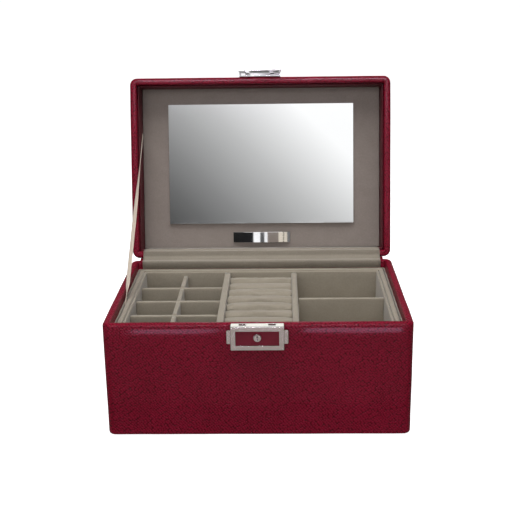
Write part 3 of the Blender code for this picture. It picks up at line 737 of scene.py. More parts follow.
def show_piece(name: str, bm: bmesh.types.BMesh, finish: bpy.types.Material,
               body: Body | None, replaced: Sequence[str] = (),
               smooth: float = 40.0) -> bpy.types.Object:
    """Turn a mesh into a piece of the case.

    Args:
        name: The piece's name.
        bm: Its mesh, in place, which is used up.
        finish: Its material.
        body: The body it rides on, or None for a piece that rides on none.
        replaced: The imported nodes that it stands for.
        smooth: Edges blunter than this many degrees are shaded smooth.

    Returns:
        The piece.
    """
    piece = add_object(name, bm, finish)
    piece.data.shade_smooth()
    piece.data.set_sharp_from_angle(angle=math.radians(smooth))
    if body is not None:
        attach(piece, body.value)
    if replaced:
        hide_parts(*replaced)
    LOG.info("%s: %d faces", name, len(piece.data.polygons))
    return piece


# --- The lid's swing --------------------------------------------------------
@dataclass(frozen=True)
class LidSwing:
    """The hinge line, and how far the lid stands open."""

    place: Vector
    angle: float

    @classmethod
    def packed(cls) -> "LidSwing":
        """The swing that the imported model's hinge has."""
        hinge = next(j for j in frame["joints"] if j["name"] == "lid_hinge")
        return cls(Vector(hinge["pos_m"]), math.radians(-hinge["range_deg"][0]))

    @property
    def opening(self) -> Matrix:
        """Turns a piece modelled shut to where the open lid holds it."""
        to_hinge = Matrix.Translation(self.place)
        return to_hinge @ Matrix.Rotation(-self.angle, 4, "X") @ to_hinge.inverted()

    def opened(self, point: Point) -> Point:
        """Where a point of the shut lid, as (y, z), stands when the lid is open."""
        turned = self.opening @ Vector((0.0, *point))
        return (turned.y, turned.z)

    def shut_box(self, node: str) -> tuple[Vector, Vector]:
        """A lid node's lowest and highest corner with the lid shut.

        Args:
            node: The node's name.

        Returns:
            The two corners.
        """
        shutting = self.opening.inverted()
        places = [shutting @ v.co for v in frame["nodes"][node].data.vertices]
        low = Vector([min(p[i] for p in places) for i in range(3)])
        high = Vector([max(p[i] for p in places) for i in range(3)])
        return low, high


# --- Leather shells ---------------------------------------------------------
@dataclass
class Shells:
    """The leather that wraps the base and the lid, and what lies under the base."""

    finishes: Finishes
    swing: LidSwing
    leather: float = 0.001
    round_out: float = 0.0025
    round_in: float = 0.0014
    foot: float = 0.0015
    top_round: float = 0.003
    corner: float = 0.007
    wall: float = 0.0065
    turn_in: float = 0.0115
    turn_under: float = 0.008
    cell: float = 0.005
    crown: float = 0.0009
    pillow: float = 0.0012
    pillow_reach: float = 0.014
    unevenness: float = 0.00016
    swell: float = 0.03
    felt_ease: float = 0.0004

    def build(self) -> None:
        """Make the shells."""
        self.wrap_base()
        self.wrap_lid()
        self.lay_felt()

    def plan(self, low: Vector, high: Vector) -> Plan:
        """The outline of a shell between two corners."""
        return Plan((high.x - low.x) / 2, (high.y - low.y) / 2, self.corner, 10, self.cell)

    def wall_side(self, rim: float, far: float, way: int) -> list[Point]:
        """A wall's outer side, from its far edge to the middle of its rim.

        Args:
            rim: The rim's height.
            far: Where the side starts.
            way: 1 when the rim is above the side, -1 when it is below.

        Returns:
            Pairs of inset and height.
        """
        shoulder = rim - way * self.round_out
        arc = arc_points((self.round_out, 0.0), self.round_out, 180, 90)
        side = [(0.0, far)] + line_points((0.0, far), (0.0, shoulder), self.cell / 2)
        return side + [(x, shoulder + way * z) for x, z in arc]

    def pillow_front(self, bm: bmesh.types.BMesh, front: float, rim: float) -> None:
        """Lean the base's front wall back a little towards its rim, as padded leather does.

        Args:
            bm: The base's cover.
            front: Where its front is.
            rim: The rim's height.
        """
        for vert in bm.verts:
            depth = max(0.0, 1 - (vert.co.y - front) / self.wall)
            rise = max(0.0, 1 - (rim - vert.co.z) / self.pillow_reach)
            vert.co.y += self.pillow * depth * rise ** 2

    def wrap_base(self) -> None:
        """The base's leather, over the rim and under the foot."""
        low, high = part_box("base_leather")
        rim, foot = high.z, low.z
        wall, skin = self.wall, self.leather
        profile = arc_points((self.foot, foot + self.foot), self.foot, 270, 180)
        profile += self.wall_side(rim, foot + self.foot + self.cell / 2, 1)
        profile += arc_points((wall - self.round_in, rim - self.round_in), self.round_in, 90, 0)
        profile += [(wall, rim - self.turn_in * 0.6), (wall, rim - self.turn_in)]
        profile += [(wall - skin, rim - self.turn_in), (wall - skin, rim - skin)]
        profile += [(skin, rim - skin), (skin, foot + skin), (self.turn_under, foot + skin)]
        profile += [(self.turn_under, foot)]
        bm = self.plan(low, high).sweep(profile, closed=True)
        self.pillow_front(bm, low.y, rim)
        ruffle(bm, self.unevenness, self.swell, 3.0)
        show_piece("base_cover", bm, self.finishes.hide, Body.BASE,
                   ["base_leather"])

    def wrap_lid(self) -> None:
        """The lid's leather, with a softly crowned top."""
        low, high = self.swing.shut_box("lid_leather")
        rim, top = low.z, high.z
        wall, skin = self.wall, self.leather
        profile = arc_points((self.top_round, top - self.top_round), self.top_round, 90, 180)
        profile += self.wall_side(rim, top - self.top_round - self.cell / 2, -1)
        profile += arc_points((wall - self.round_in, rim + self.round_in), self.round_in, 270,
                              360)
        profile += [(wall, rim + self.turn_in * 0.6), (wall, rim + self.turn_in)]
        profile += [(wall - skin, rim + self.turn_in), (wall - skin, rim + skin)]
        profile += [(skin, rim + skin), (skin, top - skin)]
        bm = self.plan(low, high).sweep(profile, closed=False)
        open_edges = [e for e in bm.edges if e.is_boundary]
        bmesh.ops.holes_fill(bm, edges=open_edges, sides=0)
        bmesh.ops.recalc_face_normals(bm, faces=bm.faces)
        cut_cells(bm, 2 * self.cell)
        half_x, half_y = (high.x - low.x) / 2, (high.y - low.y) / 2
        for vert in bm.verts:
            if vert.co.z > top - TINY:
                fall_x = 1 - abs(vert.co.x / half_x) ** 4
                fall_y = 1 - abs(vert.co.y / half_y) ** 4
                vert.co.z += self.crown * max(0.0, fall_x * fall_y)
        ruffle(bm, self.unevenness, self.swell, 7.0)
        bmesh.ops.translate(bm, vec=(0, (low.y + high.y) / 2, 0), verts=bm.verts)
        bm.transform(self.swing.opening)
        show_piece("lid_cover", bm, self.finishes.hide, Body.LID, ["lid_leather"])

    def lay_felt(self) -> None:
        """The felt under the base."""
        bm = node_copy("base_felt")
        ease_edges(bm, self.felt_ease)
        show_piece("felt_foot", bm, self.finishes.felt, Body.BASE, ["base_felt"])


# --- Linings ----------------------------------------------------------------
def folded_profile(low: float, top: float, thickness: float, cell: float,
                   steps: int = 6) -> list[Point]:
    """The profile of a lining whose suede folds over its upper edge.

    Args:
        low: The lining's lower edge.
        top: Its fold.
        thickness: How thick it is.
        cell: About how far apart its points are.
        steps: How many chords the fold has.

    Returns:
        Pairs of inset and height, up the outer side and down the inner.
    """
    half = thickness / 2
    fold = top - half
    profile = [(0.0, low)] + line_points((0.0, low), (0.0, fold), cell)
    profile += arc_points((half, fold), half, 180, 0, steps)
    profile += line_points((thickness, fold), (thickness, low), cell) + [(thickness, low)]
    return profile


@dataclass
class Linings:
    """The linings inside the base and the lid, the ledges, and the lid's panel."""

    finishes: Finishes
    swing: LidSwing
    thickness: float = 0.0012
    corner: float = 0.0016
    cell: float = 0.006
    floor_ease: float = 0.0004
    soft_edge: float = 0.0012
    unevenness: float = 0.00012
    swell: float = 0.03

    def build(self) -> None:
        """Make the linings."""
        self.line_base()
        self.line_lid()
        self.pad_panel()

    def line_base(self) -> None:
        """The base's side lining, its floor and the tray's ledges."""
        low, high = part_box("base_side_lining")
        plan = Plan(high.x, high.y, self.corner, 4, self.cell)
        bm = plan.sweep(folded_profile(low.z, high.z, self.thickness, self.cell), closed=True)
        show_piece("base_lining", bm, self.finishes.suede, Body.BASE,
                   ["base_side_lining"])
        bm = node_copy("base_floor_lining")
        ease_edges(bm, self.floor_ease)
        show_piece("base_floor", bm, self.finishes.suede, Body.BASE,
                   ["base_floor_lining"])
        for side in ("left", "right"):
            bm = node_copy(f"tray_ledge_{side}")
            ease_edges(bm, self.soft_edge, 3)
            show_piece(f"ledge_{side}", bm, self.finishes.suede, Body.BASE,
                       [f"tray_ledge_{side}"])

    def line_lid(self) -> None:
        """The leather round the inside of the lid."""
        low, high = self.swing.shut_box("lid_side_lining")
        plan = Plan((high.x - low.x) / 2, (high.y - low.y) / 2, self.corner, 4, self.cell)
        profile = folded_profile(-high.z, -low.z, self.thickness, self.cell)
        bm = plan.sweep([(inset, -height) for inset, height in profile], closed=True)
        bmesh.ops.translate(bm, vec=(0, (low.y + high.y) / 2, 0), verts=bm.verts)
        bm.transform(self.swing.opening)
        # Its leather is coloured darker, painting the shade inside the lid.
        show_piece("lid_lining", bm, self.finishes.turned, Body.LID,
                   ["lid_side_lining"])

    def pad_panel(self) -> None:
        """The lid's panel: a card wrapped in suede, with soft edges."""
        bm = node_copy("lid_panel", 50.0)
        bm.transform(self.swing.opening.inverted())
        ease_edges(bm, self.soft_edge, 4)
        cut_cells(bm, 2 * self.cell)
        ruffle(bm, self.unevenness, self.swell, 11.0)
        bm.transform(self.swing.opening)
        show_piece("mirror_panel", bm, self.finishes.lid_suede, Body.LID,
                   ["lid_panel"])


# --- Tray -------------------------------------------------------------------
@dataclass(frozen=True)
class Stuffing:
    """How a padded piece is filled: an even mesh, swollen by pressure as cloth."""

    voxel: float = 0.0014
    pressure: float = 4.0
    slack: float = -0.04
    reach: float = 0.0012
    frames: int = 16

    def fill(self, piece: bpy.types.Object, held_below: float) -> None:
        """Swell a piece's cover, and keep the result as its mesh.

        Args:
            piece: A closed mesh at the origin.
            held_below: Points lower than this height stay where they are.
        """
        remesh = piece.modifiers.new("even_mesh", "REMESH")
        remesh.mode = "VOXEL"
        remesh.voxel_size = self.voxel
        self._settle(piece)
        held = piece.vertex_groups.new(name="held")
        held.add([v.index for v in piece.data.vertices if v.co.z < held_below], 1.0, "REPLACE")
        start = [v.co.copy() for v in piece.data.vertices]
        cloth = piece.modifiers.new("swell", "CLOTH")
        cloth.settings.use_pressure = True
        cloth.settings.uniform_pressure_force = self.pressure
        cloth.settings.effector_weights.gravity = 0.0
        cloth.settings.vertex_group_mass = held.name
        cloth.settings.shrink_min = self.slack
        cloth.settings.quality = 6
        cloth.point_cache.frame_start = 1
        cloth.point_cache.frame_end = self.frames
        for step in range(1, self.frames + 1):
            bpy.context.scene.frame_set(step)
        self._settle(piece)
        bpy.context.scene.frame_set(1)
        for vert, before in zip(piece.data.vertices, start):
            moved = vert.co - before
            if moved.length > self.reach:
                vert.co = before + moved.normalized() * self.reach

    @staticmethod
    def _settle(piece: bpy.types.Object) -> None:
        """Make what a piece's modifiers give its own mesh, and take them off."""
        depsgraph = bpy.context.evaluated_depsgraph_get()
        settled = bpy.data.meshes.new_from_object(piece.evaluated_get(depsgraph))
        piece.modifiers.clear()
        piece.data = settled


@dataclass
class Tray:
    """The lift-out tray: walls, lining, floor, dividers and ring rolls."""

    finishes: Finishes
    corner: float = 0.0016
    cell: float = 0.006
    lining: float = 0.0024
    wall_round: float = 0.0012
    thin_round: float = 0.0011
    thick_round: float = 0.0019
    floor_round: float = 0.0008
    unevenness: float = 0.00010
    swell: float = 0.02
    lining_swell: float = 0.016
    divider_unevenness: float = 0.00012
    divider_swell: float = 0.012
    stuffing: Stuffing = field(default_factory=Stuffing)
    roll_round: float = 0.0052
    roll_inset: float = 0.0007

    def build(self) -> None:
        """Make the tray."""
        self.wrap_walls()
        self.wrap_floor()
        self.wrap_dividers()
        self.stuff_rolls()

    def suede_piece(self, name: str, bm: bmesh.types.BMesh,
                    replaced: Sequence[str]) -> bpy.types.Object:
        """One suede piece of the tray."""
        return show_piece(name, bm, self.finishes.suede, Body.TRAY, replaced)

    def wrap_walls(self) -> None:
        """The tray's wrapped walls and the padded lining inside them."""
        low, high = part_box("tray_wall_back")
        width = high.y - low.y
        top, bottom = high.z, low.z
        r = self.wall_round
        profile = [(0.0, bottom)] + line_points((0.0, bottom), (0.0, top - r), self.cell)
        profile += arc_points((r, top - r), r, 180, 90)
        profile += arc_points((width - r, top - r), r, 90, 0)
        profile += line_points((width, top - r), (width, bottom), self.cell) + [(width, bottom)]
        bm = Plan(high.x, high.y, self.corner, 5, self.cell).sweep(profile, closed=True)
        ruffle(bm, self.unevenness, self.swell, 5.0)
        self.suede_piece("tray_walls", bm, [f"tray_wall_{side}" for side in
                                            ("back", "front", "left", "right")])
        low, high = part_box("tray_lining")
        bm = Plan(high.x, high.y, self.corner, 4, self.cell).sweep(
            folded_profile(low.z, high.z, self.lining, self.cell), closed=True)
        ruffle(bm, self.unevenness, self.lining_swell, 6.0)
        self.suede_piece("tray_inner_lining", bm, ["tray_lining"])

    def wrap_floor(self) -> None:
        """The tray's floor."""
        bm = node_copy("tray_floor")
        ease_edges(bm, self.floor_round, 3)
        cut_cells(bm, 2 * self.cell)
        ruffle(bm, self.unevenness, self.swell, 8.0)
        self.suede_piece("tray_base", bm, ["tray_floor"])

    def wrap_divider(self, node: str, run: Run, radius: float, seed: float) -> None:
        """One divider, with its upper long edges rounded.

        Args:
            node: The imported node.
            run: The way the divider runs.
            radius: The rounding of its upper edges.
            seed: Sets its unevenness apart from its neighbours'.
        """
        bm = node_copy(node, 50.0)
        top = max(v.co.z for v in bm.verts)
        long_edges = [e for e in bm.edges
                      if all(v.co.z > top - TINY for v in e.verts)
                      and abs((e.verts[0].co - e.verts[1].co).normalized()[run.value]) > 0.99]
        bmesh.ops.bevel(bm, geom=long_edges, offset=radius, segments=5, profile=0.5,
                        affect="EDGES", material=-1)
        cut_cells(bm, self.cell)
        ruffle(bm, self.divider_unevenness, self.divider_swell, seed)
        self.suede_piece(f"{node}_cover", bm, [node])

    def wrap_dividers(self) -> None:
        """Every divider of the tray."""
        for number, side in enumerate(("left", "right")):
            self.wrap_divider(f"divider_thick_{side}", Run.ALONG, self.thick_round, 13.0 + number)
        self.wrap_divider("divider_left_long", Run.ALONG, self.thin_round, 17.0)
        self.wrap_divider("divider_right_cross", Run.ACROSS, self.thin_round, 19.0)
        for number in range(1, 4):
            self.wrap_divider(f"divider_left_cross_{number}", Run.ACROSS, self.thin_round,
                              20.0 + number)

    def stuff_rolls(self) -> None:
        """The ring rolls: foam strips in suede, side by side."""
        number = 1
        while f"ring_roll_{number}" in frame["nodes"]:
            self.stuff_roll(number)
            number += 1

    def stuff_roll(self, number: int) -> None:
        """One ring roll.

        Args:
            number: Its place, counted from the back.
        """
        node = f"ring_roll_{number}"
        low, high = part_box(node)
        margin = Vector((0.0, self.roll_inset * 0.3, self.roll_inset))
        size = high - low - margin * 2
        middle = (high + low) / 2
        bm = bmesh.new()
        bmesh.ops.create_cube(bm, size=1.0)
        bmesh.ops.scale(bm, vec=size, verts=bm.verts)
        bmesh.ops.translate(bm, vec=middle, verts=bm.verts)
        long_edges = [e for e in bm.edges
                      if abs((e.verts[0].co - e.verts[1].co).normalized().x) > 0.99]
        upper = [e for e in long_edges if e.verts[0].co.z > middle.z]
        bmesh.ops.bevel(bm, geom=upper, offset=self.roll_round, segments=6, profile=0.5,
                        affect="EDGES", material=-1)
        roll = self.suede_piece(f"ring_pad_{number}", bm, [node])
        roll.parent = None
        self.stuffing.fill(roll, low.z + size.z * 0.3)
        roll.data.shade_smooth()
        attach(roll, Body.TRAY.value)


# --- Lid fittings -----------------------------------------------------------
@dataclass
class LidFittings:
    """The mirror and the blank nameplate below it."""

    finishes: Finishes
    swing: LidSwing
    plate_thickness: float = 0.0009
    plate_round: float = 0.00035
    plate_steps: int = 48
    ground_edge: float = 0.0009
    front_layer: float = 0.0004

    def build(self) -> None:
        """Make the fittings."""
        self.set_mirror()
        self.bow_nameplate()

    def set_mirror(self) -> None:
        """The mirror, its front as wide as its back but for a narrow ground edge."""
        bm = node_copy("mirror")
        low, high = self.swing.shut_box("mirror")
        middle = (low + high) / 2
        bm.transform(self.swing.opening.inverted())
        for vert in bm.verts:
            if vert.co.z < low.z + self.front_layer:
                vert.co.x += math.copysign(self.ground_edge, vert.co.x - middle.x)
                vert.co.y += math.copysign(self.ground_edge, vert.co.y - middle.y)
        bm.transform(self.swing.opening)
        show_piece("mirror_glass", bm, self.finishes.glass, Body.LID, ["mirror"],
                   smooth=3.0)

    def bow_nameplate(self) -> None:
        """The nameplate: a polished strip bowed along its length."""
        low, high = self.swing.shut_box("nameplate")
        half = (high.x - low.x) / 2
        rise = high.z - low.z - self.plate_thickness
        radius = (half ** 2 + rise ** 2) / (2 * rise)
        reach = math.asin(half / radius)
        centre_z = high.z + radius - rise
        r = self.plate_round
        inner, outer = radius, radius + self.plate_thickness
        outline = arc_points((inner + r, low.y + r), r, 270, 180, 3)
        outline += arc_points((inner + r, high.y - r), r, 180, 90, 3)
        outline += arc_points((outer - r, high.y - r), r, 90, 0, 3)
        outline += arc_points((outer - r, low.y + r), r, 0, -90, 3)
        bm = bmesh.new()
        ring = [bm.verts.new((0.0, y, centre_z - out)) for out, y in outline]
        face = bm.faces.new(ring)
        bmesh.ops.rotate(bm, verts=bm.verts, cent=(0.0, 0.0, centre_z),
                         matrix=Matrix.Rotation(reach, 3, "Y"))
        edges = list(face.edges)
        bmesh.ops.spin(bm, geom=ring + edges + [face], cent=(0.0, 0.0, centre_z),
                       axis=(0.0, 1.0, 0.0), angle=-2 * reach, steps=self.plate_steps,
                       use_duplicate=False)
        bmesh.ops.recalc_face_normals(bm, faces=bm.faces)
        bm.transform(self.swing.opening)
        show_piece("bowed_nameplate", bm, self.finishes.chrome, Body.LID,
                   ["nameplate"], smooth=12.0)


# --- Clasp ------------------------------------------------------------------
@dataclass
class Clasp:
    """The lock on the base, its buttons and key cylinder, and the lid's catch."""

    finishes: Finishes
    case_ease: float = 0.0003
    part_ease: float = 0.00022
    pin_radius: float = 0.00042
    throat: tuple[float, float, float] = (0.0009, 0.0002, 0.0033)
    throat_depth: float = 0.0013
    pin_length: float = 0.0016
    pin_inset: float = 0.0001
    pin_ease: float = 0.0002
    throat_ease: float = 0.00005

    def build(self) -> None:
        """Make the clasp."""
        nickel, chrome = self.finishes.nickel, self.finishes.chrome
        self.polish("lock_case", "lock_frame", nickel, Body.BASE, self.case_ease)
        self.polish("button_left", "squeeze_button_left", nickel, Body.LEFT_BUTTON,
                    self.part_ease)
        self.polish("button_right", "squeeze_button_right", nickel,
                    Body.RIGHT_BUTTON, self.part_ease)
        self.polish("key_cylinder", "key_barrel", nickel, Body.KEY,
                    self.part_ease / 2)
        self.polish("catch_plate", "catch_case", chrome, Body.LID, self.case_ease)
        for side in ("left", "right"):
            self.polish(f"hook_{side}", f"catch_hook_{side}", chrome, Body.LID,
                        self.part_ease)
        self.polish("lock_inlay", "lock_panel", self.finishes.inlay, Body.BASE,
                    self.part_ease)
        self.set_pin()
        self.coil_spring("left", 1)
        self.coil_spring("right", -1)

    def coil_spring(self, side: str, way: int) -> None:
        """A spring, copied from the imported one as it stands.

        Args:
            side: Left or right.
            way: Which way the button goes in, 1 towards the right or -1 towards the left.
        """
        node = f"spring_{side}"
        low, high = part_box(node)
        coil = show_piece(f"coil_{side}", node_copy(node), self.finishes.steel,
                          None, [node], smooth=50.0)
        fixed, moved = (high.copy(), low.copy()) if way > 0 else (low.copy(), high.copy())
        fixed.y = moved.y
        fixed.z = moved.z
        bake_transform(coil)

    def polish(self, node: str, name: str, finish: bpy.types.Material, body: Body,
               ease: float) -> None:
        """Round a packed metal part's edges.

        Args:
            node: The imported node.
            name: The new piece's name.
            finish: Its material.
            body: The body it rides on.
            ease: The rounding's width.
        """
        bm = node_copy(node)
        ease_edges(bm, ease, 3, 35.0)
        even_shading(show_piece(name, bm, finish, body, [node], smooth=35.0))

    def set_pin(self) -> None:
        """A near-black block in the keyway, painted shade for its deep throat, and the round pin in its middle."""
        low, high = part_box("key_cylinder")
        middle = (low + high) / 2
        bm = bmesh.new()
        place = Matrix.Translation((middle.x, low.y + self.pin_length / 2 + self.pin_inset,
                                    middle.z))
        bmesh.ops.create_cone(bm, cap_ends=True, segments=24, radius1=self.pin_radius,
                              radius2=self.pin_radius, depth=self.pin_length,
                              matrix=place @ Matrix.Rotation(math.pi / 2, 4, "X"))
        ease_edges(bm, self.pin_ease, 2, 60.0)
        show_piece("keyway_pin", bm, self.finishes.nickel, Body.KEY)
        # The near-black block paints the shade deep in the keyway.
        bm = bmesh.new()
        bmesh.ops.create_cube(bm, size=1.0)
        bmesh.ops.scale(bm, vec=self.throat, verts=bm.verts)
        ease_edges(bm, self.throat_ease, 1)
        bmesh.ops.translate(bm, vec=(middle.x, low.y + self.throat_depth, middle.z),
                            verts=bm.verts)
        show_piece("keyway_throat", bm, self.finishes.keyway_shade, Body.KEY)


# --- Hinge strips and stay --------------------------------------------------
@dataclass
class SoftJoints:
    """The hinge's leather and cloth, and the ribbon stay, shaped for the open lid."""

    finishes: Finishes
    swing: LidSwing
    cell: float = 0.004
    leather: float = 0.0009
    leather_fold: float = 0.0025
    bend: float = 0.003
    cloth: float = 0.00045
    cloth_gap: float = 0.00015
    cloth_folds: tuple[float, ...] = (0.0012, 0.0009, 0.0009, 0.0012, 0.0007, 0.0007)
    free_cloth: float = 0.0026
    lining: float = 0.0012
    step_rise: float = 0.0018
    clearance: float = 0.0004
    ribbon_width: float = 0.005
    ribbon_ends: tuple[float, float] = (0.0018, 0.0017)
    ribbon_twist: float = math.radians(52)
    twist_in: Point = (0.045, 0.09)
    twist_out: Point = (0.96, 0.48)
    ribbon_columns: int = 6
    ribbon_rows: int = 60

    def build(self) -> None:
        """Make the hinge strips and the ribbon stay."""
        self.hang_leather()
        self.hang_cloth()
        self.hang_ribbon()

    def strip(self, name: str, path: Sequence[Point], length: float, thickness: float,
              finish: bpy.types.Material, slot: Slot, node: str) -> bpy.types.Object:
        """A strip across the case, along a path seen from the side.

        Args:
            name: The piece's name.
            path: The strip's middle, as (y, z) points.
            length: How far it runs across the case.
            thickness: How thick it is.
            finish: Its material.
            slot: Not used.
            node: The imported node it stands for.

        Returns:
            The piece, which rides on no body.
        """
        bm = bmesh.new()
        line = [bm.verts.new((-length / 2, y, z)) for y, z in path]
        edges = [bm.edges.new(pair) for pair in zip(line, line[1:])]
        drag_edges(bm, edges, Vector((length, 0.0, 0.0)), self.cell)
        bmesh.ops.recalc_face_normals(bm, faces=bm.faces)
        piece = show_piece(name, bm, finish, None, [node], smooth=60.0)
        shell = piece.modifiers.new("thickness", "SOLIDIFY")
        shell.thickness = thickness
        shell.offset = 0.0
        return piece

    def hang_leather(self) -> None:
        """The outer hinge, glued to the base and the lid."""
        low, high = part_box("hinge_leather")
        reach = self.swing.place.z - low.z
        y, z = self.swing.place.y, self.swing.place.z
        path = filleted([(y, z - reach), (y, z), self.swing.opened((y, z + reach))],
                        [self.leather_fold])
        full = [path[0]] + line_points(path[0], path[1], self.bend) + path[1:-1]
        full += line_points(path[-2], path[-1], self.bend) + [path[-1]]
        strip = self.strip("hinge_strip", full, high.x - low.x, self.leather, self.finishes.hide,
                           Slot.LEATHER, "hinge_leather")
        before = Vector((0.0, y, z - self.bend))
        after = Vector((0.0, *self.swing.opened((y, z + self.bend))))
        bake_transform(strip)

    def hang_cloth(self) -> None:
        """The suede over the two back rims, from the base's lining to the lid's."""
        low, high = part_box("hinge_lining")
        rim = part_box("base_leather")[1]
        lid_rim = self.swing.shut_box("lid_leather")[0].z
        offset = self.cloth_gap + self.cloth / 2
        wall_y = low.y + self.cloth / 2
        fold_y = self.swing.place.y - self.free_cloth
        lining_low, lining_high = self.swing.shut_box("lid_side_lining")
        step_y = lining_high.y - self.lining - offset
        panel_z = self.swing.shut_box("lid_panel")[0].z
        base_z, lid_z = rim.z + offset, lid_rim - offset
        in_lid = [(fold_y, lid_z), (wall_y, lid_z), (wall_y, lining_low.z - self.step_rise),
                  (step_y, lining_low.z - self.clearance), (step_y, panel_z - self.clearance)]
        path = [(wall_y, low.z), (wall_y, base_z), (fold_y, base_z)]
        path = filleted(path + [self.swing.opened(point) for point in in_lid], self.cloth_folds)
        strip = self.strip("hinge_cloth", path, high.x - low.x, self.cloth,
                           self.finishes.hinge_suede, Slot.SUEDE, "hinge_lining")
        self.swing.opened((fold_y, lid_z))
        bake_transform(strip)

    def hang_ribbon(self) -> None:
        """The satin stay on the left, flat at its ends and twisted between them."""
        low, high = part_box("ribbon_stay")
        middle_x = (low.x + high.x) / 2
        end_y, end_z = self.ribbon_ends
        low_end = Vector((middle_x, low.y + end_y, low.z + end_z))
        top_end = Vector((middle_x, high.y - end_y, high.z - end_z))
        along = top_end - low_end
        across = along.cross(Vector((1.0, 0.0, 0.0))).normalized() * self.ribbon_width
        bm = bmesh.new()
        columns = self.ribbon_columns
        line = [bm.verts.new(low_end + across * (i / columns - 0.5)) for i in range(columns + 1)]
        edges = [bm.edges.new(pair) for pair in zip(line, line[1:])]
        place = low_end.copy()
        turned = 0.0
        for row in range(1, self.ribbon_rows + 1):
            share = row / self.ribbon_rows
            wanted = self.ribbon_twist * self.twist_at(share)
            grown = bmesh.ops.extrude_edge_only(bm, edges=edges)["geom"]
            edges = edges_of(grown)
            step = along / self.ribbon_rows
            bmesh.ops.translate(bm, vec=step, verts=verts_of(grown))
            place = place + step
            bmesh.ops.rotate(bm, verts=verts_of(grown), cent=place,
                             matrix=Matrix.Rotation(wanted - turned, 3, along))
            turned = wanted
        self.unwrap_ribbon(bm, low_end, along, across)
        piece = show_piece("ribbon", bm, self.finishes.ribbon, None,
                           ["ribbon_stay"], smooth=60.0)
        shell = piece.modifiers.new("thickness", "SOLIDIFY")
        shell.thickness = high.x - low.x
        shell.offset = 0.0
        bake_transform(piece)

    def twist_at(self, share: float) -> float:
        """How much of its twist the ribbon has at a share of its length."""
        (flat_to, turning_in), (flat_from, turning_out) = self.twist_in, self.twist_out
        rise = min(1.0, max(0.0, (share - flat_to) / turning_in))
        fall = min(1.0, max(0.0, (flat_from - share) / turning_out))
        return (rise * rise * (3 - 2 * rise)) * (fall * fall * (3 - 2 * fall))

    @staticmethod
    def unwrap_ribbon(bm: bmesh.types.BMesh, start: Vector, along: Vector,
                      across: Vector) -> None:
        """Give the ribbon a UV map in centimetres.

        Args:
            bm: The ribbon's mesh.
            start: The middle of its lower end.
            along: From its lower end to its upper.
            across: From one edge to the other, at the lower end.
        """
        layer = bm.loops.layers.uv.new("weave")
        length = along.length
        for face in bm.faces:
            for loop in face.loops:
                offset = loop.vert.co - start
                run = offset.dot(along) / length
                side = offset - along * (run / length)
                sign = 1.0 if side.dot(across) >= 0 else -1.0
                loop[layer].uv = (side.length * sign * 100, run * 100)


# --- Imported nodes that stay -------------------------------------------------
def dress_packed(finishes: Finishes) -> None:
    """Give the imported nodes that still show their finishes.

    Args:
        finishes: The case's finishes.
    """
    by_slot = {Slot.BOARD.value: finishes.board, Slot.FOAM.value: finishes.foam,
               Slot.STEEL.value: finishes.steel, Slot.SUEDE.value: finishes.suede}
    slots = {part["node"]: part["material_slot"] for part in frame["record"]["subparts"]}
    for name, node in frame["nodes"].items():
        if node.hide_render:
            continue
        node.data.materials.clear()
        node.data.materials.append(by_slot[slots[name]])
        LOG.info("%s keeps its packed shape", name)


# --- Studio -----------------------------------------------------------------
@dataclass(frozen=True)
class Card:
    """A plain card that only reflections show."""

    name: str
    centre: tuple[float, float, float]
    size: Point
    color: Color = (1.0, 1.0, 1.0)
    strength: float = 1.0
    tilt: float = 90.0


def band(name: str, left: float, right: float, tone: Color) -> Card:
    """An upright band low in front of the case, which the bowed nameplate shows.

    Args:
        name: The card's name.
        left: Its left edge.
        right: Its right edge.
        tone: Its color.

    Returns:
        The card.
    """
    return Card(name, ((left + right) / 2, -2.05, 0.455), (right - left, 0.22), tone)


def glowing(bench: Bench, color: Signal | Color, strength: float = 1.0) -> bpy.types.Material:
    """Finish a material that is black but for its glow."""
    return bench.dress(base_color=(0.0, 0.0, 0.0), specular_ior_level=0.0,
                       emission_color=color, emission_strength=strength)

def pass_rays(stand: bpy.types.Object, *kinds: str) -> None:
    """Let some kinds of ray, such as glossy or camera rays, pass through an object."""
    for kind in kinds:
        setattr(stand, f"visible_{kind}", False)

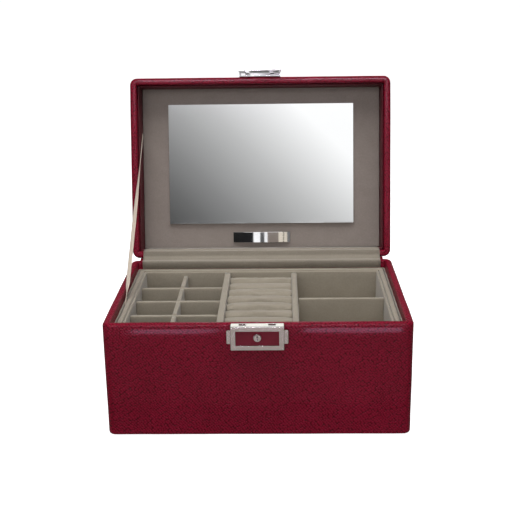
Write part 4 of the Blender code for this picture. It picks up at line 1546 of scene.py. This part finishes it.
@dataclass
class Studio:
    """The pale floor, the soft light and the camera."""

    camera_place: tuple[float, float, float] = (0.0209, -0.8258, 0.3885)
    camera_yaw: float = math.radians(-1.39)
    camera_pitch: float = math.radians(17.42)
    camera_roll: float = math.radians(-0.84)
    lens: float = 66.0
    ambient: float = 0.20
    mirror_card: Card = Card("gradient_card", (0.0, -2.1, 0.80), (1.6, 0.95))
    shade_from: Point = (-0.369, 0.587)
    shade_rise: Point = (0.947, 0.919)
    cards: tuple[Card, ...] = (
        Card("floor_card", (0.0, -1.6, 0.002), (3.0, 2.9), (0.50, 0.44, 0.42), 1.0, 0.0),
        Card("high_left", (-0.40, -3.0, 1.60), (0.64, 0.50), (0.92, 0.80, 1.0), 46.0, 62.0),
        Card("high_right", (0.42, -3.0, 1.60), (0.70, 0.50), (0.92, 0.80, 1.0), 46.0, 62.0),
        Card("shine_left", (-0.112, -0.44, 0.037), (0.10, 0.048), (1.0, 0.66, 1.0), 10.0, 90.0),
        Card("shine_right", (0.108, -0.44, 0.037), (0.13, 0.054), (1.0, 0.66, 1.0), 11.0, 90.0),
        Card("catch_light", (-0.100, -2.06, 1.12), (0.11, 0.13), (1.0, 1.0, 1.0), 1.0, 90.0),
        Card("catch_grey", (0.010, -2.06, 1.12), (0.11, 0.13), (0.22, 0.20, 0.21), 1.0, 90.0),
        Card("ceiling_card", (0.0, -0.95, 1.35), (1.0, 0.60), (1.0, 0.98, 0.95), 1.9, 40.0),
        band("band_black", -1.30, -0.34, (0.012, 0.012, 0.012)),
        band("band_white", -0.34, -0.10, (1.2, 1.2, 1.2)),
        band("band_slate", -0.10, 0.05, (0.11, 0.11, 0.11)),
        band("band_light", 0.05, 0.16, (1.1, 1.1, 1.1)),
        band("band_umber", 0.16, 0.56, (0.24, 0.20, 0.17)),
        band("band_cream", 0.56, 0.74, (0.80, 0.72, 0.60)),
        band("band_line", 0.74, 0.77, (0.05, 0.04, 0.03)),
        band("band_end", 0.77, 0.90, (0.80, 0.72, 0.60)),
    )

    def build(self) -> None:
        """Set the studio up."""
        bpy.context.scene.view_settings.view_transform = "Standard"
        self.set_world()
        self.lay_floor()
        self.raise_backdrop()
        self.hang_lights()
        self.stand_cards()
        self.place_camera()

    def set_world(self) -> None:
        """A dim, even grey all round."""
        world = bpy.data.worlds.new("grey_surround")
        world.use_nodes = True
        world.node_tree.nodes["Background"].inputs["Color"].default_value = (1.0, 0.99, 0.98, 1)
        world.node_tree.nodes["Background"].inputs["Strength"].default_value = self.ambient
        bpy.context.scene.world = world

    def raise_backdrop(self) -> None:
        """A plain white wall all round, far behind the object."""
        bm = bmesh.new()
        ring = bmesh.ops.create_circle(bm, segments=96, radius=30.0)["verts"]
        rise = bmesh.ops.extrude_edge_only(bm, edges=list(bm.edges))["geom"]
        bmesh.ops.translate(bm, vec=(0.0, 0.0, -1.0), verts=ring)
        bmesh.ops.translate(bm, vec=(0.0, 0.0, 40.0), verts=verts_of(rise))
        backdrop = add_object("backdrop", bm, glowing(Bench("white_backdrop"), (1.0, 1.0, 1.0)))
        pass_rays(backdrop, "glossy", "diffuse", "shadow")

    def lay_floor(self) -> None:
        """A wide white floor."""
        bm = bmesh.new()
        bmesh.ops.create_circle(bm, cap_ends=True, segments=64, radius=40.0)
        bench = Bench("white_floor")
        grain = bench.noise(bench.places(), 6.0, 2.0)
        tone = bench.blend(grain, (0.86, 0.86, 0.86), (0.88, 0.88, 0.88))
        bench.dress(base_color=tone, roughness=0.9, specular_ior_level=0.1,
                    emission_color=(1.0, 1.0, 1.0), emission_strength=0.86)
        floor = add_object("floor", bm, bench.material)
        pass_rays(floor, "glossy", "diffuse")

    def hang_light(self, name: str, place: Sequence[float], aim: Sequence[float],
                   size: tuple[float, float], power: float) -> None:
        """Hang one soft box.

        Args:
            name: The light's name.
            place: Where it hangs.
            aim: The point it faces.
            size: Its width and height.
            power: Its power in watts.
        """
        lamp = bpy.data.lights.new(name, "AREA")
        lamp.shape = "RECTANGLE"
        lamp.size, lamp.size_y = size
        lamp.energy = power
        light = bpy.data.objects.new(name, lamp)
        light.location = place
        facing = Vector(aim) - Vector(place)
        light.rotation_euler = facing.to_track_quat("-Z", "Y").to_euler()
        light.visible_glossy = False
        bpy.context.scene.collection.objects.link(light)

    def hang_lights(self) -> None:
        """An overhead box and a front box."""
        self.hang_light("overhead", (0.0, -0.25, 1.7), (0.0, 0.0, 0.1), (1.6, 1.3), 24.0)
        self.hang_light("front", (-0.3, -2.2, 1.0), (0.0, 0.0, 0.15), (1.8, 1.0), 16.0)

    def stand_card(self, plan: Card, glow: bpy.types.Material) -> None:
        """Stand a glowing card that only reflections show.

        Args:
            plan: The card's name, middle, size and tilt.
            glow: Its material.
        """
        bm = bmesh.new()
        bmesh.ops.create_grid(bm, x_segments=1, y_segments=1, size=0.5)
        bmesh.ops.scale(bm, vec=(*plan.size, 1.0), verts=bm.verts)
        bmesh.ops.rotate(bm, verts=bm.verts,
                         matrix=Matrix.Rotation(math.radians(plan.tilt), 3, "X"))
        bmesh.ops.translate(bm, vec=plan.centre, verts=bm.verts)
        card = add_object(plan.name, bm, glow)
        pass_rays(card, "camera", "diffuse", "shadow")

    def stand_cards(self) -> None:
        """The shaded card that the mirror shows, and plain ones for the metal and leather."""
        bench = Bench("gradient_glow")
        place = bench.split(bench.places())
        (left, foot), (rightward, upward) = self.shade_from, self.shade_rise
        level = ((place[0] - left) * rightward + (place[2] - foot) * upward).clamped()
        tones = ((0.0, 0.087), (0.125, 0.163), (0.25, 0.269), (0.375, 0.407), (0.5, 0.57),
                 (0.625, 0.78), (0.80, 1.1))
        glow = bench.node("ShaderNodeValToRGB",
                          {"stops": [(spot, (tone,) * 3) for spot, tone in tones]},
                          {"Fac": level})
        self.stand_card(self.mirror_card, glowing(bench, glow))
        for card in self.cards:
            self.stand_card(card, glowing(Bench(f"{card.name}_glow"), card.color, card.strength))

    def place_camera(self) -> None:
        """The camera, a little above the lid's rim and nearly straight in front."""
        camera = bpy.data.objects.new("camera", bpy.data.cameras.new("camera"))
        camera.data.lens = self.lens
        camera.data.sensor_width = 36.0
        camera.data.clip_start = 0.01
        yaw, pitch, roll = self.camera_yaw, self.camera_pitch, self.camera_roll
        forward = Vector((math.sin(yaw) * math.cos(pitch), math.cos(yaw) * math.cos(pitch),
                          -math.sin(pitch)))
        level = Vector((math.cos(yaw), -math.sin(yaw), 0.0))
        upright = level.cross(forward)
        right = level * math.cos(roll) + upright * math.sin(roll)
        up = upright * math.cos(roll) - level * math.sin(roll)
        turn = Matrix((right, up, -forward)).transposed().to_4x4()
        camera.matrix_world = Matrix.Translation(self.camera_place) @ turn
        bpy.context.scene.collection.objects.link(camera)
        bpy.context.scene.camera = camera


def main() -> None:
    """Build the looks of the whole case."""
    logging.basicConfig(level=logging.INFO, format="%(name)s: %(message)s")
    swing = LidSwing.packed()
    finishes = Finishes()
    Studio().build()
    Shells(finishes, swing).build()
    Linings(finishes, swing).build()
    Tray(finishes).build()
    LidFittings(finishes, swing).build()
    Clasp(finishes).build()
    SoftJoints(finishes, swing).build()
    dress_packed(finishes)


if __name__ == "__main__":
    main()
